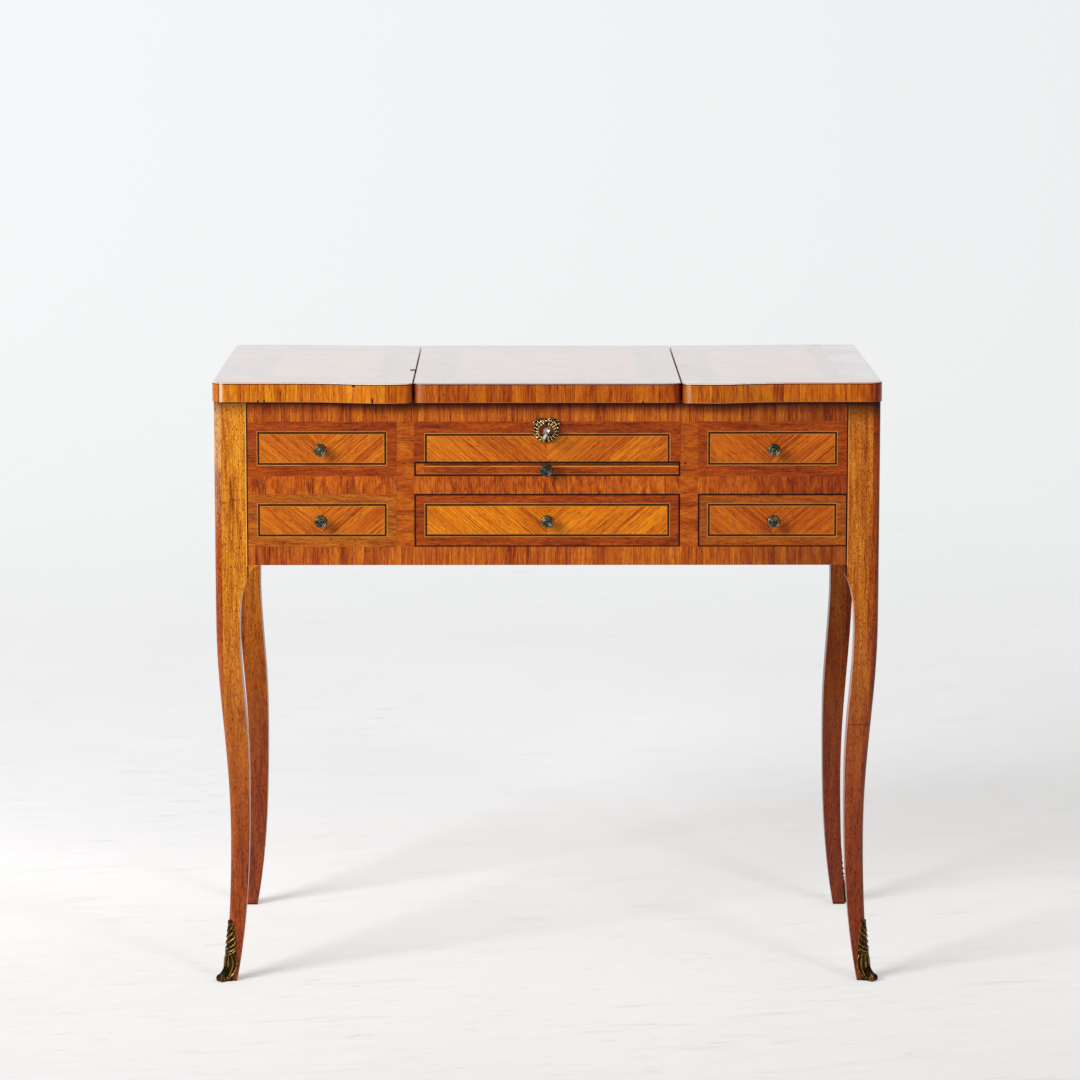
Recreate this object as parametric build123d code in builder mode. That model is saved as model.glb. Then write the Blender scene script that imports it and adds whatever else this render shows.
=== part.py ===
from build123d import *
import os

# A poudreuse: a small dressing table on four cabriole legs. Three lids close a deep well at
# the left, a shallow well with a folding mirror in the middle and a well over a drawer at the
# right. Millimetres, X to the right, Y from front to back, Z up from the floor. The origin
# lies on the floor, in the middle of the whole table with its knobs, key and hinges.

os.makedirs("parts", exist_ok=True)

# ---- Driving dimensions: overall ----
table_height = 760
lid_thickness = 24
lid_gap = 0.5               # air between the lids and the carcass
lid_half_span = 415         # middle of the table to the outer edge of a side lid
carcass_half_width = 413    # middle of the table to the outer face of a leg
carcass_depth = 448         # over the front and rear legs
key_reach = 34              # bow of the key in front of the legs
rear_overhang = 20          # side lids behind the rear legs, at their outer ends
rear_lid_overhang = 7       # lids behind the rear legs, at the seams
seam_x = 166                # middle of the table to the middle of a seam between lids
seam_gap = 1.2

# ---- Driving dimensions: levels on the front ----
top_rail_bottom = 711.5
slide_opening_top = 661.6
slide_opening_bottom = 643.2
middle_rail_bottom = 621.2
bottom_rail_top = 554.8
apron_bottom = 531.8
upper_knob_level = 677.2
slide_knob_level = 652.2
lower_knob_level = 587.9

# ---- Driving dimensions: widths and board thicknesses ----
leg_block = 40
stile_inner_x = 165
stile_outer_x = 187
set_back = 1                # rails and panels behind the faces of the legs
rail_thickness = 20
panel_thickness = 15
floor_thickness = 6
drawer_gap = 0.9            # drawer front to its opening
knob_x = 280.5

# ---- Driving dimensions: brass and steel ----
hinge_length = 50
hinge_spread = 100          # middle of the table to the middle of each hinge
pin_radius = 1.2
pin_clearance = 0.05
barrel_radius = 2.8
barrel_clearance = 0.4      # wood and plates keep this far from a turning knuckle
axis_outset = 1.5           # hinge axis outside the lid's edge
leaf_thickness = 1.6
knuckle_gap = 0.3
side_leaf_reach = 17.5
rear_leaf_reach = 22.5
screw_radius = 1.3
screw_head_radius = 2.6
screw_length = 10
key_x = -1
key_level = 700.3
key_lean = 30               # the bow leans this many degrees to the right at rest
key_clearance = 0.08
bit_radius = 7
bolt_travel = 6

# ---- Levels and planes that follow from them ----
lid_bottom = table_height - lid_thickness
carcass_top = lid_bottom - lid_gap
hinge_level = lid_bottom - lid_gap / 2
front_y = -(carcass_depth + rear_overhang - key_reach) / 2
back_y = front_y + carcass_depth
middle_y = (front_y + back_y) / 2
leg_inner_x = carcass_half_width - leg_block
face_y = front_y + set_back
rail_back_y = face_y + rail_thickness
back_face_y = back_y - set_back
back_inner_y = back_face_y - panel_thickness
side_face_x = carcass_half_width - set_back
side_inner_x = side_face_x - panel_thickness


def board(x_span, y_span, z_span, mode=Mode.ADD):
    """A squared board between (low, high) pairs, in the part that is being built."""
    middle = [(low + high) / 2 for low, high in (x_span, y_span, z_span)]
    size = [high - low for low, high in (x_span, y_span, z_span)]
    with Locations(tuple(middle)):
        Box(*size, mode=mode)


def cylinder_along_x(radius, length, mode=Mode.ADD):
    """A round bar on the X axis of the frame in use."""
    Cylinder(radius, length, rotation=(0, 90, 0), mode=mode)


def save(builder, name):
    """Label a finished piece and write it to its own file."""
    builder.part.label = name
    export_step(builder.part, f"parts/{name}.step")


# ---- Legs ----
# Each leg is one length of wood. Its top is the square corner block of the carcass. Below the
# apron both of its profiles follow the same S curve, so that it sweeps out to the diagonal.
# Points are (inset from the outer face, height).
leg_outer_curve = ((0, 488), (1.2, 415), (7.4, 328), (14, 227), (13.7, 124), (6, 0))
leg_inner_curve = ((40, 514), (33.6, 497), (30, 468), (32, 390), (38, 306), (39, 225),
                   (37, 143), (30.5, 60), (21.5, 0))
outer_toe_slope = 0.09
leg_corner_radius = 7
leg_cut_depth = 50          # a cut that passes right through a leg


def leg_profile(face, inward):
    """Outline of a leg seen square on, from its outer face towards the middle of the table."""
    outer = [(face + inward * inset, level) for inset, level in leg_outer_curve]
    inner = [(face + inward * inset, level) for inset, level in leg_inner_curve]
    with BuildSketch() as profile:
        with BuildLine():
            Spline(*outer, tangents=[(0, -1), (-inward * outer_toe_slope, -1)])
            Line(outer[-1], inner[-1])
            Spline(*inner)
            Polyline(inner[0], (inner[0][0], carcass_top), (face, carcass_top), outer[0])
        make_face()
    return profile.sketch


leg_back_plane = Plane.XZ.offset(-front_y - leg_block - set_back)
leg_inner_plane = Plane.YZ.offset(leg_inner_x - set_back)

with BuildPart() as leg_front_right:
    with BuildSketch(leg_back_plane):
        add(leg_profile(carcass_half_width, -1))
    extrude(amount=leg_cut_depth)
    with BuildSketch(leg_inner_plane):
        add(leg_profile(front_y, 1))
    extrude(amount=leg_cut_depth, mode=Mode.INTERSECT)
    upright_edges = leg_front_right.edges().filter_by(lambda e: abs(e.tangent_at(0.5).Z) > 0.5)
    outer_corner = upright_edges.sort_by(lambda e: e.position_at(0.5).X - e.position_at(0.5).Y)[-2:]
    fillet(outer_corner, radius=leg_corner_radius)
save(leg_front_right, "leg_front_right")

across = Plane.XZ.offset(-middle_y)
with BuildPart() as leg_front_left:
    mirror(leg_front_right.part, about=Plane.YZ)
save(leg_front_left, "leg_front_left")

with BuildPart() as leg_rear_right:
    mirror(leg_front_right.part, about=across)
save(leg_rear_right, "leg_rear_right")

with BuildPart() as leg_rear_left:
    mirror(leg_front_left.part, about=across)
save(leg_rear_left, "leg_rear_left")

# ---- Knee brackets ----
# Small spandrel blocks carry the curve of each leg on to the apron beside it.
bracket_width = 14
bracket_height = 17.8
bracket_apron_slope = 0.3
bracket_leg_slope = 0.4


def bracket_profile(corner, outward):
    """Hollow-sided triangle under the apron, with its square corner against a leg."""
    apron_end = (corner - outward * bracket_width, apron_bottom)
    leg_end = (corner, apron_bottom - bracket_height)
    with BuildSketch() as profile:
        with BuildLine():
            Spline(
                apron_end,
                leg_end,
                tangents=[(outward, -bracket_apron_slope), (outward * bracket_leg_slope, -1)],
            )
            Polyline(leg_end, (corner, apron_bottom), apron_end)
        make_face()
    return profile.sketch


with BuildPart() as knee_brackets:
    for side in (-1, 1):
        for start_y in (back_inner_y, face_y):
            with BuildSketch(Plane.XZ.offset(-start_y)):
                add(bracket_profile(side * leg_inner_x, side))
            extrude(amount=-panel_thickness)
        for end, leg_face_y in ((-1, front_y + leg_block), (1, back_y - leg_block)):
            with BuildSketch(Plane.YZ.offset(min(side * side_face_x, side * side_inner_x))):
                add(bracket_profile(leg_face_y, end))
            extrude(amount=panel_thickness)
save(knee_brackets, "knee_brackets")

# ---- Front rails, stiles and false fronts ----
# The rails and stiles are tenoned between the legs. Only the slide, the middle drawer and the
# lower right drawer are real. The other fronts are fixed boards that look like drawers.
front_span = (face_y, rail_back_y)
inner_width = (-leg_inner_x, leg_inner_x)

with BuildPart() as front_top_rail:
    board(inner_width, front_span, (top_rail_bottom, carcass_top))
save(front_top_rail, "front_top_rail")

with BuildPart() as front_bottom_rail:
    board(inner_width, front_span, (apron_bottom, bottom_rail_top))
save(front_bottom_rail, "front_bottom_rail")

with BuildPart() as front_stiles:
    board((-stile_outer_x, -stile_inner_x), front_span, (bottom_rail_top, top_rail_bottom))
    board((stile_inner_x, stile_outer_x), front_span, (bottom_rail_top, top_rail_bottom))
save(front_stiles, "front_stiles")

with BuildPart() as middle_rails:
    for x_span in ((-stile_inner_x, stile_inner_x), (stile_outer_x, leg_inner_x)):
        board(x_span, front_span, (middle_rail_bottom, slide_opening_bottom))
save(middle_rails, "middle_rails")

# ---- Knobs ----
# Cast and turned brass rosettes. Each has a foot, a waist and a ringed head, and is held by a
# spigot in a drilled hole. Heights are from the face of the front, outwards.
knob_spigot_radius = 2.5
knob_spigot_length = 10
knob_foot_radius = 4.4
knob_foot_height = 1.4
knob_foot_bevel = 1
knob_waist_radius = 2.7
knob_waist_height = 6.5
knob_head_radius = 8.15
knob_head_height = 12.5
knob_rim_radius = 6.4
knob_rim_half = 2.2
knob_groove = 0.9
knob_bead_radius = 3.4
knob_length = 16.5


def knob_frame(x, level):
    """Frame of a knob on the front, with its Z axis pointing out of the front."""
    return Plane(origin=(x, face_y, level), x_dir=(1, 0, 0), z_dir=(0, -1, 0))


with BuildPart() as knob_form:
    with BuildSketch(Plane.XZ):
        with BuildLine():
            Polyline(
                (0, knob_length),
                (0, -knob_spigot_length),
                (knob_spigot_radius, -knob_spigot_length),
                (knob_spigot_radius, 0),
                (knob_foot_radius, 0),
                (knob_foot_radius, knob_foot_height),
                (knob_waist_radius, knob_foot_height + knob_foot_bevel),
                (knob_waist_radius, knob_waist_height),
                (knob_rim_radius, knob_head_height - knob_rim_half),
            )
            ThreePointArc(
                (knob_rim_radius, knob_head_height - knob_rim_half),
                (knob_head_radius, knob_head_height),
                (knob_rim_radius, knob_head_height + knob_rim_half),
            )
            ThreePointArc(
                (knob_rim_radius, knob_head_height + knob_rim_half),
                ((knob_rim_radius + knob_bead_radius) / 2, knob_head_height + knob_groove),
                (knob_bead_radius, knob_head_height + knob_rim_half),
            )
            TangentArc(
                (0, knob_length),
                (knob_bead_radius, knob_head_height + knob_rim_half),
                tangent=(1, 0),
            )
        make_face()
    revolve(axis=Axis.Z)


def knob_hole(x, level):
    """Bore the hole for a knob's spigot through the board that is being built."""
    with Locations(knob_frame(x, level)):
        Cylinder(knob_spigot_radius, 2 * knob_spigot_length, mode=Mode.SUBTRACT)


false_knobs = ((-knob_x, upper_knob_level), (-knob_x, lower_knob_level), (knob_x, upper_knob_level))

with BuildPart() as left_false_front:
    board((-leg_inner_x, -stile_outer_x), front_span, (bottom_rail_top, top_rail_bottom))
    knob_hole(*false_knobs[0])
    knob_hole(*false_knobs[1])
save(left_false_front, "left_false_front")

with BuildPart() as right_false_front:
    board((stile_outer_x, leg_inner_x), front_span, (slide_opening_bottom, top_rail_bottom))
    knob_hole(*false_knobs[2])
save(right_false_front, "right_false_front")

with BuildPart() as false_front_knobs:
    for x, level in false_knobs:
        with Locations(knob_frame(x, level)):
            add(knob_form.part)
save(false_front_knobs, "false_front_knobs")

# ---- Key and lock frame ----
# The key, the lock and the keyhole share one axis. On this frame Z points out of the front and
# X runs along the bow of the key, away from its bit.
key_shank_radius = 2.6
key_hole_radius = key_shank_radius + key_clearance
keyhole_slot_width = 2.6
keyhole_slot_depth = 8
bow_direction = Vector(0, 0, 1).rotate(Axis.Y, key_lean)
key_frame = Plane(origin=(key_x, face_y, key_level), x_dir=bow_direction, z_dir=(0, -1, 0))


def keyhole(depth):
    """Cut a round hole for the key with a slot for its bit below, back from the face."""
    with Locations((key_x, face_y + depth / 2, key_level)):
        Cylinder(key_hole_radius, depth, rotation=(90, 0, 0), mode=Mode.SUBTRACT)
    slot_x = (key_x - keyhole_slot_width / 2, key_x + keyhole_slot_width / 2)
    board(slot_x, (face_y, face_y + depth), (key_level - keyhole_slot_depth, key_level),
          mode=Mode.SUBTRACT)


with BuildPart() as centre_false_front:
    board((-stile_inner_x, stile_inner_x), front_span, (slide_opening_top, top_rail_bottom))
    keyhole(rail_thickness)
save(centre_false_front, "centre_false_front")

# ---- Escutcheon ----
# A cast wreath with a tied ribbon on top, pinned round the keyhole.
wreath_thickness = 2.6
wreath_outer = (16, 14.3)
wreath_inner = (10.5, 8.8)
ribbon_level = key_level + 11.7
ribbon_loop = (7.5, 3.4)
ribbon_loop_hole = (5.2, 1.5)
ribbon_loop_x = 9.5
ribbon_loop_tilt = -18

with BuildPart() as escutcheon:
    with BuildSketch(Plane.XZ.offset(-face_y)):
        with Locations((key_x, key_level)):
            Ellipse(*wreath_outer)
            Ellipse(*wreath_inner, mode=Mode.SUBTRACT)
        for side in (-1, 1):
            loop_x = key_x + side * ribbon_loop_x
            with Locations(Location((loop_x, ribbon_level), side * ribbon_loop_tilt)):
                Ellipse(*ribbon_loop)
                Ellipse(*ribbon_loop_hole, mode=Mode.SUBTRACT)
        with Locations((key_x, ribbon_level)):
            Circle(ribbon_loop[1])
    extrude(amount=wreath_thickness)
save(escutcheon, "escutcheon")

# ---- Hinge parts ----
# Butt hinges of three knuckles on a loose pin. Their leaves are let into the underside of a
# lid and into the top edge of the carcass, and the knuckles stand clear outside. On the frame
# of a leaf, X runs along the pin, Y points in under the lid and Z points into the wood.
outer_knuckle = 16
middle_knuckle = hinge_length - 2 * (outer_knuckle + knuckle_gap)
screw_spread = 15
clear_radius = barrel_radius + barrel_clearance
leaf_span = (lid_gap / 2, lid_gap / 2 + leaf_thickness)
lid_knuckles = ((-middle_knuckle / 2, middle_knuckle / 2),)
carcass_knuckles = (
    (-hinge_length / 2, -hinge_length / 2 + outer_knuckle),
    (hinge_length / 2 - outer_knuckle, hinge_length / 2),
)
axis_x = lid_half_span + axis_outset
axis_y = back_y + rear_lid_overhang + axis_outset


def lid_leaf_frames(origins, x_dir):
    """Frames for the lid's leaves of the hinges whose pins have these middles."""
    return [Plane(origin=origin, x_dir=x_dir, z_dir=(0, 0, 1)) for origin in origins]


def carcass_leaf_frames(frames):
    """Frames for the carcass leaves that face these lid leaves."""
    return [Plane(origin=f.origin, x_dir=-f.x_dir, z_dir=(0, 0, -1)) for f in frames]


hinge_ys = (middle_y - hinge_spread, middle_y + hinge_spread)
left_hinges = lid_leaf_frames([(-axis_x, y, hinge_level) for y in hinge_ys], (0, -1, 0))
right_hinges = lid_leaf_frames([(axis_x, y, hinge_level) for y in hinge_ys], (0, 1, 0))
rear_hinges = lid_leaf_frames(
    [(x, axis_y, hinge_level) for x in (-hinge_spread, hinge_spread)], (-1, 0, 0)
)


with BuildPart() as screw_form:
    with BuildSketch(Plane.XZ):
        Polygon(
            (0, lid_gap / 2),
            (screw_head_radius, lid_gap / 2),
            (screw_radius, lid_gap / 2 + leaf_thickness),
            (screw_radius, screw_length - screw_radius),
            (0, screw_length),
            align=None,
        )
    revolve(axis=Axis.Z)


def leaf_screws(reach, mode=Mode.ADD):
    """The two countersunk screws of a leaf, in the middle of its plate."""
    for x in (-screw_spread, screw_spread):
        with Locations((x, (clear_radius + reach) / 2, 0)):
            add(screw_form.part, mode=mode)


def leaf_form(knuckles, reach):
    """One leaf: its plate, the knuckles bent round the pin, and its screw holes."""
    with BuildPart() as leaf:
        board((-hinge_length / 2, hinge_length / 2), (clear_radius, reach), leaf_span)
        for low, high in knuckles:
            board((low, high), (0, clear_radius + leaf_thickness), leaf_span)
            with Locations(((low + high) / 2, 0, 0)):
                cylinder_along_x(barrel_radius, high - low)
        cylinder_along_x(pin_radius + pin_clearance, 2 * hinge_length, mode=Mode.SUBTRACT)
        leaf_screws(reach, mode=Mode.SUBTRACT)
    return leaf.part


def seat_form(reach):
    """What one leaf takes out of the wood: its plate, its screws and room for the knuckles."""
    with BuildPart() as seat:
        board((-hinge_length / 2, hinge_length / 2), (0, reach), (0, leaf_span[1]))
        cylinder_along_x(clear_radius, hinge_length + 2 * knuckle_gap)
        leaf_screws(reach)
    return seat.part


def put(form, frames, mode=Mode.ADD):
    """Add or cut the same form on each of these frames, in the part that is being built."""
    for frame in frames:
        with Locations(frame):
            add(form, mode=mode)


def hinge_side(name, leaves):
    """Write the leaves and the screws on one side of some hinges, as two groups."""
    with BuildPart() as plates:
        for form, frames, _ in leaves:
            put(form, frames)
    save(plates, f"{name}_hinge_leaves")
    with BuildPart() as screws:
        for _, frames, reach in leaves:
            for frame in frames:
                with Locations(frame):
                    leaf_screws(reach)
    save(screws, f"{name}_hinge_screws")


side_seat = seat_form(side_leaf_reach)
rear_seat = seat_form(rear_leaf_reach)
side_lid_leaf = leaf_form(lid_knuckles, side_leaf_reach)
rear_lid_leaf = leaf_form(lid_knuckles, rear_leaf_reach)
side_carcass_leaf = leaf_form(carcass_knuckles, side_leaf_reach)
rear_carcass_leaf = leaf_form(carcass_knuckles, rear_leaf_reach)

hinge_side(
    "carcass",
    (
        (side_carcass_leaf, carcass_leaf_frames(left_hinges + right_hinges), side_leaf_reach),
        (rear_carcass_leaf, carcass_leaf_frames(rear_hinges), rear_leaf_reach),
    ),
)

with BuildPart() as hinge_pins:
    for frame in left_hinges + right_hinges + rear_hinges:
        with Locations(frame):
            cylinder_along_x(pin_radius, hinge_length)
save(hinge_pins, "hinge_pins")

# ---- Sides, back and partitions ----
# Flat panels between the leg blocks. The two partitions stand behind the stiles and part the
# wells. Their tops and those of the panels carry the lids.
carcass_height = (apron_bottom, carcass_top)
inner_depth = (rail_back_y, back_inner_y)
between_legs = (front_y + leg_block, back_y - leg_block)

with BuildPart() as side_panel_left:
    board((-side_face_x, -side_inner_x), between_legs, carcass_height)
    put(side_seat, carcass_leaf_frames(left_hinges), mode=Mode.SUBTRACT)
save(side_panel_left, "side_panel_left")

with BuildPart() as side_panel_right:
    board((side_inner_x, side_face_x), between_legs, carcass_height)
    put(side_seat, carcass_leaf_frames(right_hinges), mode=Mode.SUBTRACT)
save(side_panel_right, "side_panel_right")

with BuildPart() as back_panel:
    board(inner_width, (back_inner_y, back_face_y), carcass_height)
    put(rear_seat, carcass_leaf_frames(rear_hinges), mode=Mode.SUBTRACT)
save(back_panel, "back_panel")

with BuildPart() as partition_left:
    board((-stile_outer_x, -stile_inner_x), inner_depth, carcass_height)
save(partition_left, "partition_left")

with BuildPart() as partition_right:
    board((stile_inner_x, stile_outer_x), inner_depth, carcass_height)
save(partition_right, "partition_right")

# ---- Well floors ----
# Thin boards let in between the panels. The outer two are notched round the leg blocks.
floor_lift = 2              # floors above the slide and the drawer that run under them
centre_floor_bottom = slide_opening_top + floor_lift
left_floor_top = bottom_rail_top
right_floor_top = middle_rail_bottom + floor_lift + floor_thickness


def outer_well_floor(side, top):
    """Floor of the left (-1) or right (1) well."""
    x_span = sorted((side * stile_outer_x, side * side_inner_x))
    z_span = (top - floor_thickness, top)
    block_x = sorted((side * leg_inner_x, side * carcass_half_width))
    with BuildPart() as floor:
        board(x_span, inner_depth, z_span)
        for block_y in ((front_y, between_legs[0]), (between_legs[1], back_y)):
            board(block_x, block_y, z_span, mode=Mode.SUBTRACT)
    return floor


save(outer_well_floor(-1, left_floor_top), "left_well_floor")
save(outer_well_floor(1, right_floor_top), "right_well_floor")

with BuildPart() as centre_well_floor:
    floor_span = (centre_floor_bottom, centre_floor_bottom + floor_thickness)
    board((-stile_inner_x, stile_inner_x), inner_depth, floor_span)
save(centre_well_floor, "centre_well_floor")

# ---- Runners ----
# Strips along the partitions and the right side carry the slide and the two drawers.
runner_height = 14
runner_width = 20
bearer_width = 7

with BuildPart() as slide_bearers:
    for side in (-1, 1):
        x_span = sorted((side * stile_inner_x, side * (stile_inner_x - bearer_width)))
        board(x_span, inner_depth, (middle_rail_bottom, slide_opening_bottom))
save(slide_bearers, "slide_bearers")

with BuildPart() as drawer_runners:
    runner_span = (bottom_rail_top - runner_height, bottom_rail_top)
    for edge, inward in ((-stile_inner_x, 1), (stile_inner_x, -1), (stile_outer_x, 1),
                         (leg_inner_x, -1)):
        board(sorted((edge, edge + inward * runner_width)), inner_depth, runner_span)
save(drawer_runners, "drawer_runners")

with BuildPart() as drawer_guide:
    guide_span = (bottom_rail_top - runner_height, bottom_rail_top + runner_width)
    board((leg_inner_x, side_inner_x), between_legs, guide_span)
save(drawer_guide, "drawer_guide")

# ---- Drawers ----
# Each is a thin box behind a thick front, with its bottom held between the sides.
drawer_front_thickness = 16
drawer_board = 8
drawer_bottom_thickness = 5
drawer_depth = 390
drawer_lift = 0.4           # drawer above its runners
drawer_side_gap = 1
drawer_headroom = 4         # drawer sides below the top of the opening


def drawer(name, low_x, high_x, front_knob_x):
    """Write the pieces of a drawer that fills an opening of the lower row."""
    bottom = bottom_rail_top + drawer_lift
    box_top = middle_rail_bottom - drawer_headroom
    box_y = (face_y + drawer_front_thickness, face_y + drawer_front_thickness + drawer_depth)
    box_x = (low_x + drawer_side_gap, high_x - drawer_side_gap)
    inside_x = (box_x[0] + drawer_board, box_x[1] - drawer_board)
    knob_at = (front_knob_x, lower_knob_level)
    with BuildPart() as front:
        board(
            (low_x + drawer_gap, high_x - drawer_gap),
            (face_y, box_y[0]),
            (bottom, middle_rail_bottom - drawer_gap),
        )
        knob_hole(*knob_at)
    save(front, f"{name}_front")
    with BuildPart() as sides:
        board((box_x[0], inside_x[0]), box_y, (bottom, box_top))
        board((inside_x[1], box_x[1]), box_y, (bottom, box_top))
    save(sides, f"{name}_sides")
    with BuildPart() as back:
        board(inside_x, (box_y[1] - drawer_board, box_y[1]), (bottom, box_top - drawer_board))
    save(back, f"{name}_back")
    with BuildPart() as base:
        base_bottom = bottom + drawer_board / 2
        board(
            inside_x,
            (box_y[0], box_y[1] - drawer_board),
            (base_bottom, base_bottom + drawer_bottom_thickness),
        )
    save(base, f"{name}_bottom")
    with BuildPart() as drawer_knob:
        with Locations(knob_frame(*knob_at)):
            add(knob_form.part)
    save(drawer_knob, f"{name}_knob")


drawer("centre_drawer", -stile_inner_x, stile_inner_x, 0)
drawer("right_drawer", stile_outer_x, leg_inner_x, knob_x)

# ---- Writing slide ----
# A clamped board with a leather skin let in to its top, and a lipping that fills the opening.
lipping_thickness = 12
slide_thickness = 14
slide_depth = 360
leather_thickness = 1
leather_margin = 24
leather_rear_margin = 72
slide_x = (-stile_inner_x + drawer_gap, stile_inner_x - drawer_gap)
slide_bottom = slide_opening_bottom + drawer_lift
slide_board_y = (face_y + lipping_thickness, face_y + slide_depth)
leather_x = (slide_x[0] + leather_margin, slide_x[1] - leather_margin)
leather_y = (slide_board_y[0] + leather_margin, slide_board_y[1] - leather_rear_margin)
leather_z = (slide_bottom + slide_thickness - leather_thickness, slide_bottom + slide_thickness)

with BuildPart() as slide_board:
    board(slide_x, slide_board_y, (slide_bottom, slide_bottom + slide_thickness))
    board(leather_x, leather_y, leather_z, mode=Mode.SUBTRACT)
save(slide_board, "slide_board")

with BuildPart() as slide_leather:
    board(leather_x, leather_y, leather_z)
save(slide_leather, "slide_leather")

with BuildPart() as slide_lipping:
    lipping_span = (slide_bottom, slide_opening_top - drawer_gap)
    board(slide_x, (face_y, slide_board_y[0]), lipping_span)
    knob_hole(key_x, slide_knob_level)
save(slide_lipping, "slide_lipping")

with BuildPart() as slide_knob:
    with Locations(knob_frame(key_x, slide_knob_level)):
        add(knob_form.part)
save(slide_knob, "slide_knob")

# ---- Side lids ----
# Veneered boards with a swelling front edge. Beside the seam the edge stands well out over the
# front, and at the outer ends it draws in close to the legs, while the rear edge draws out.
# Points are (distance from the middle of the table, overhang).
front_edge_curve = ((205, 19), (248, 11), (290, 4), (345, 2.5))
rear_edge_curve = ((320, 18.5), (240, 10))
lid_front_corner = 14
lid_rear_corner = 12
seam_front_corner = 10
seam_rear_corner = 4
seam_front_overhang = 16.5
outer_front_overhang = 2.5
lid_edge_radius = 1
side_lid_seam_x = seam_x + seam_gap / 2


def eased(lid):
    """Take the sharpness off the top edge of a lid."""
    top_edges = lid.faces().sort_by(Axis.Z)[-1].edges()
    fillet(top_edges, radius=lid_edge_radius)


with BuildPart() as plain_side_lid:
    with BuildSketch(Plane.XY.offset(lid_bottom)):
        with BuildLine():
            front_edge = Spline(
                (side_lid_seam_x + seam_front_corner, front_y - seam_front_overhang),
                *[(x, front_y - overhang) for x, overhang in front_edge_curve],
                (lid_half_span - lid_front_corner, front_y - outer_front_overhang),
                tangents=[(1, 0), (1, 0)],
            )
            front_corner = JernArc(front_edge @ 1, (1, 0), lid_front_corner, 90)
            rear_start = (lid_half_span, back_y + rear_overhang - lid_rear_corner)
            Line(front_corner @ 1, rear_start)
            rear_corner = JernArc(rear_start, (0, 1), lid_rear_corner, 90)
            rear_edge = Spline(
                rear_corner @ 1,
                *[(x, back_y + overhang) for x, overhang in rear_edge_curve],
                (side_lid_seam_x + seam_rear_corner, back_y + rear_lid_overhang),
                tangents=[(-1, 0), (-1, 0)],
            )
            seam_rear = JernArc(rear_edge @ 1, (-1, 0), seam_rear_corner, 90)
            seam_end = (side_lid_seam_x, front_y - seam_front_overhang + seam_front_corner)
            Line(seam_rear @ 1, seam_end)
            JernArc(seam_end, (0, -1), seam_front_corner, 90)
        make_face()
    extrude(amount=lid_thickness)
    eased(plain_side_lid)

with BuildPart() as right_lid:
    add(plain_side_lid.part)
    put(side_seat, right_hinges, mode=Mode.SUBTRACT)
save(right_lid, "right_lid")

# A small brass stud is let into the seam edge of the left lid and stands a little above it.
stud_width = 6.5
stud_depth = 5
stud_height = 12
stud_proud = 1.2
stud_y = -72
stud_x = -side_lid_seam_x


def stud_block(mode=Mode.ADD):
    """The stud, or the mortise that it is let into."""
    board(
        (stud_x - stud_width, stud_x),
        (stud_y - stud_depth / 2, stud_y + stud_depth / 2),
        (table_height + stud_proud - stud_height, table_height + stud_proud),
        mode=mode,
    )


with BuildPart() as left_lid:
    mirror(plain_side_lid.part, about=Plane.YZ)
    put(side_seat, left_hinges, mode=Mode.SUBTRACT)
    stud_block(mode=Mode.SUBTRACT)
save(left_lid, "left_lid")

with BuildPart() as left_lid_stud:
    stud_block()
    fillet(left_lid_stud.faces().sort_by(Axis.Z)[-1].edges(), radius=stud_proud / 2)
save(left_lid_stud, "left_lid_stud")

hinge_side("left_lid", ((side_lid_leaf, left_hinges, side_leaf_reach),))
hinge_side("right_lid", ((side_lid_leaf, right_hinges, side_leaf_reach),))

# ---- Lock ----
# A box lock is screwed behind the front under the middle lid. The key throws a bolt sideways
# by the talon in its lower edge, and the hook on its post catches the staple of the lid.
case_half_width = 22
case_wall = 1.5
case_depth = 13
case_drop = 12.3            # case below the key's axis
case_y = (rail_back_y, rail_back_y + case_depth)
case_z = (key_level - case_drop, carcass_top - lid_gap)
bolt_y = case_y[0] + case_depth / 2
bolt_thickness = 3
bolt_rise = 18              # top of the bolt above the key's axis
bolt_tail = 12              # right end of the bolt from the key's axis
bit_engagement = 1          # how far the bit reaches up into the talon
bolt_z = (key_level + bit_radius - bit_engagement, key_level + bolt_rise)
talon_width = 9
talon_depth = 1.8
post_offset = 15            # left end of the bolt from the key's axis
post_width = 4
hook_drops = (9.5, 5.5)     # bottom and top of the hook under the lid
hook_z = (lid_bottom - hook_drops[0], lid_bottom - hook_drops[1])
hook_length = 13
staple_offset = 1
staple_thickness = 3
staple_half_width = 4.2
staple_drop = 13
staple_clearance = 0.6


def around(middle, half):
    """Low and high ends of a span about its middle."""
    return (middle - half, middle + half)


bolt_span_y = around(bolt_y, bolt_thickness / 2)
post_left = key_x - post_offset
staple_x = (key_x - staple_offset, key_x - staple_offset + staple_thickness)

with BuildPart() as lock_case:
    board(around(key_x, case_half_width), case_y, case_z)
    board(
        around(key_x, case_half_width - case_wall),
        (case_y[0] + case_wall, case_y[1] - case_wall),
        (case_z[0] + case_wall, case_z[1] - case_wall),
        mode=Mode.SUBTRACT,
    )
    board(
        (staple_x[0] - 2 * staple_clearance, staple_x[1] + 2 * staple_clearance),
        around(bolt_y, staple_half_width + staple_clearance),
        (case_z[1] - 2 * case_wall, case_z[1]),
        mode=Mode.SUBTRACT,
    )
    keyhole(rail_thickness + case_wall)
save(lock_case, "lock_case")

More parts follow.
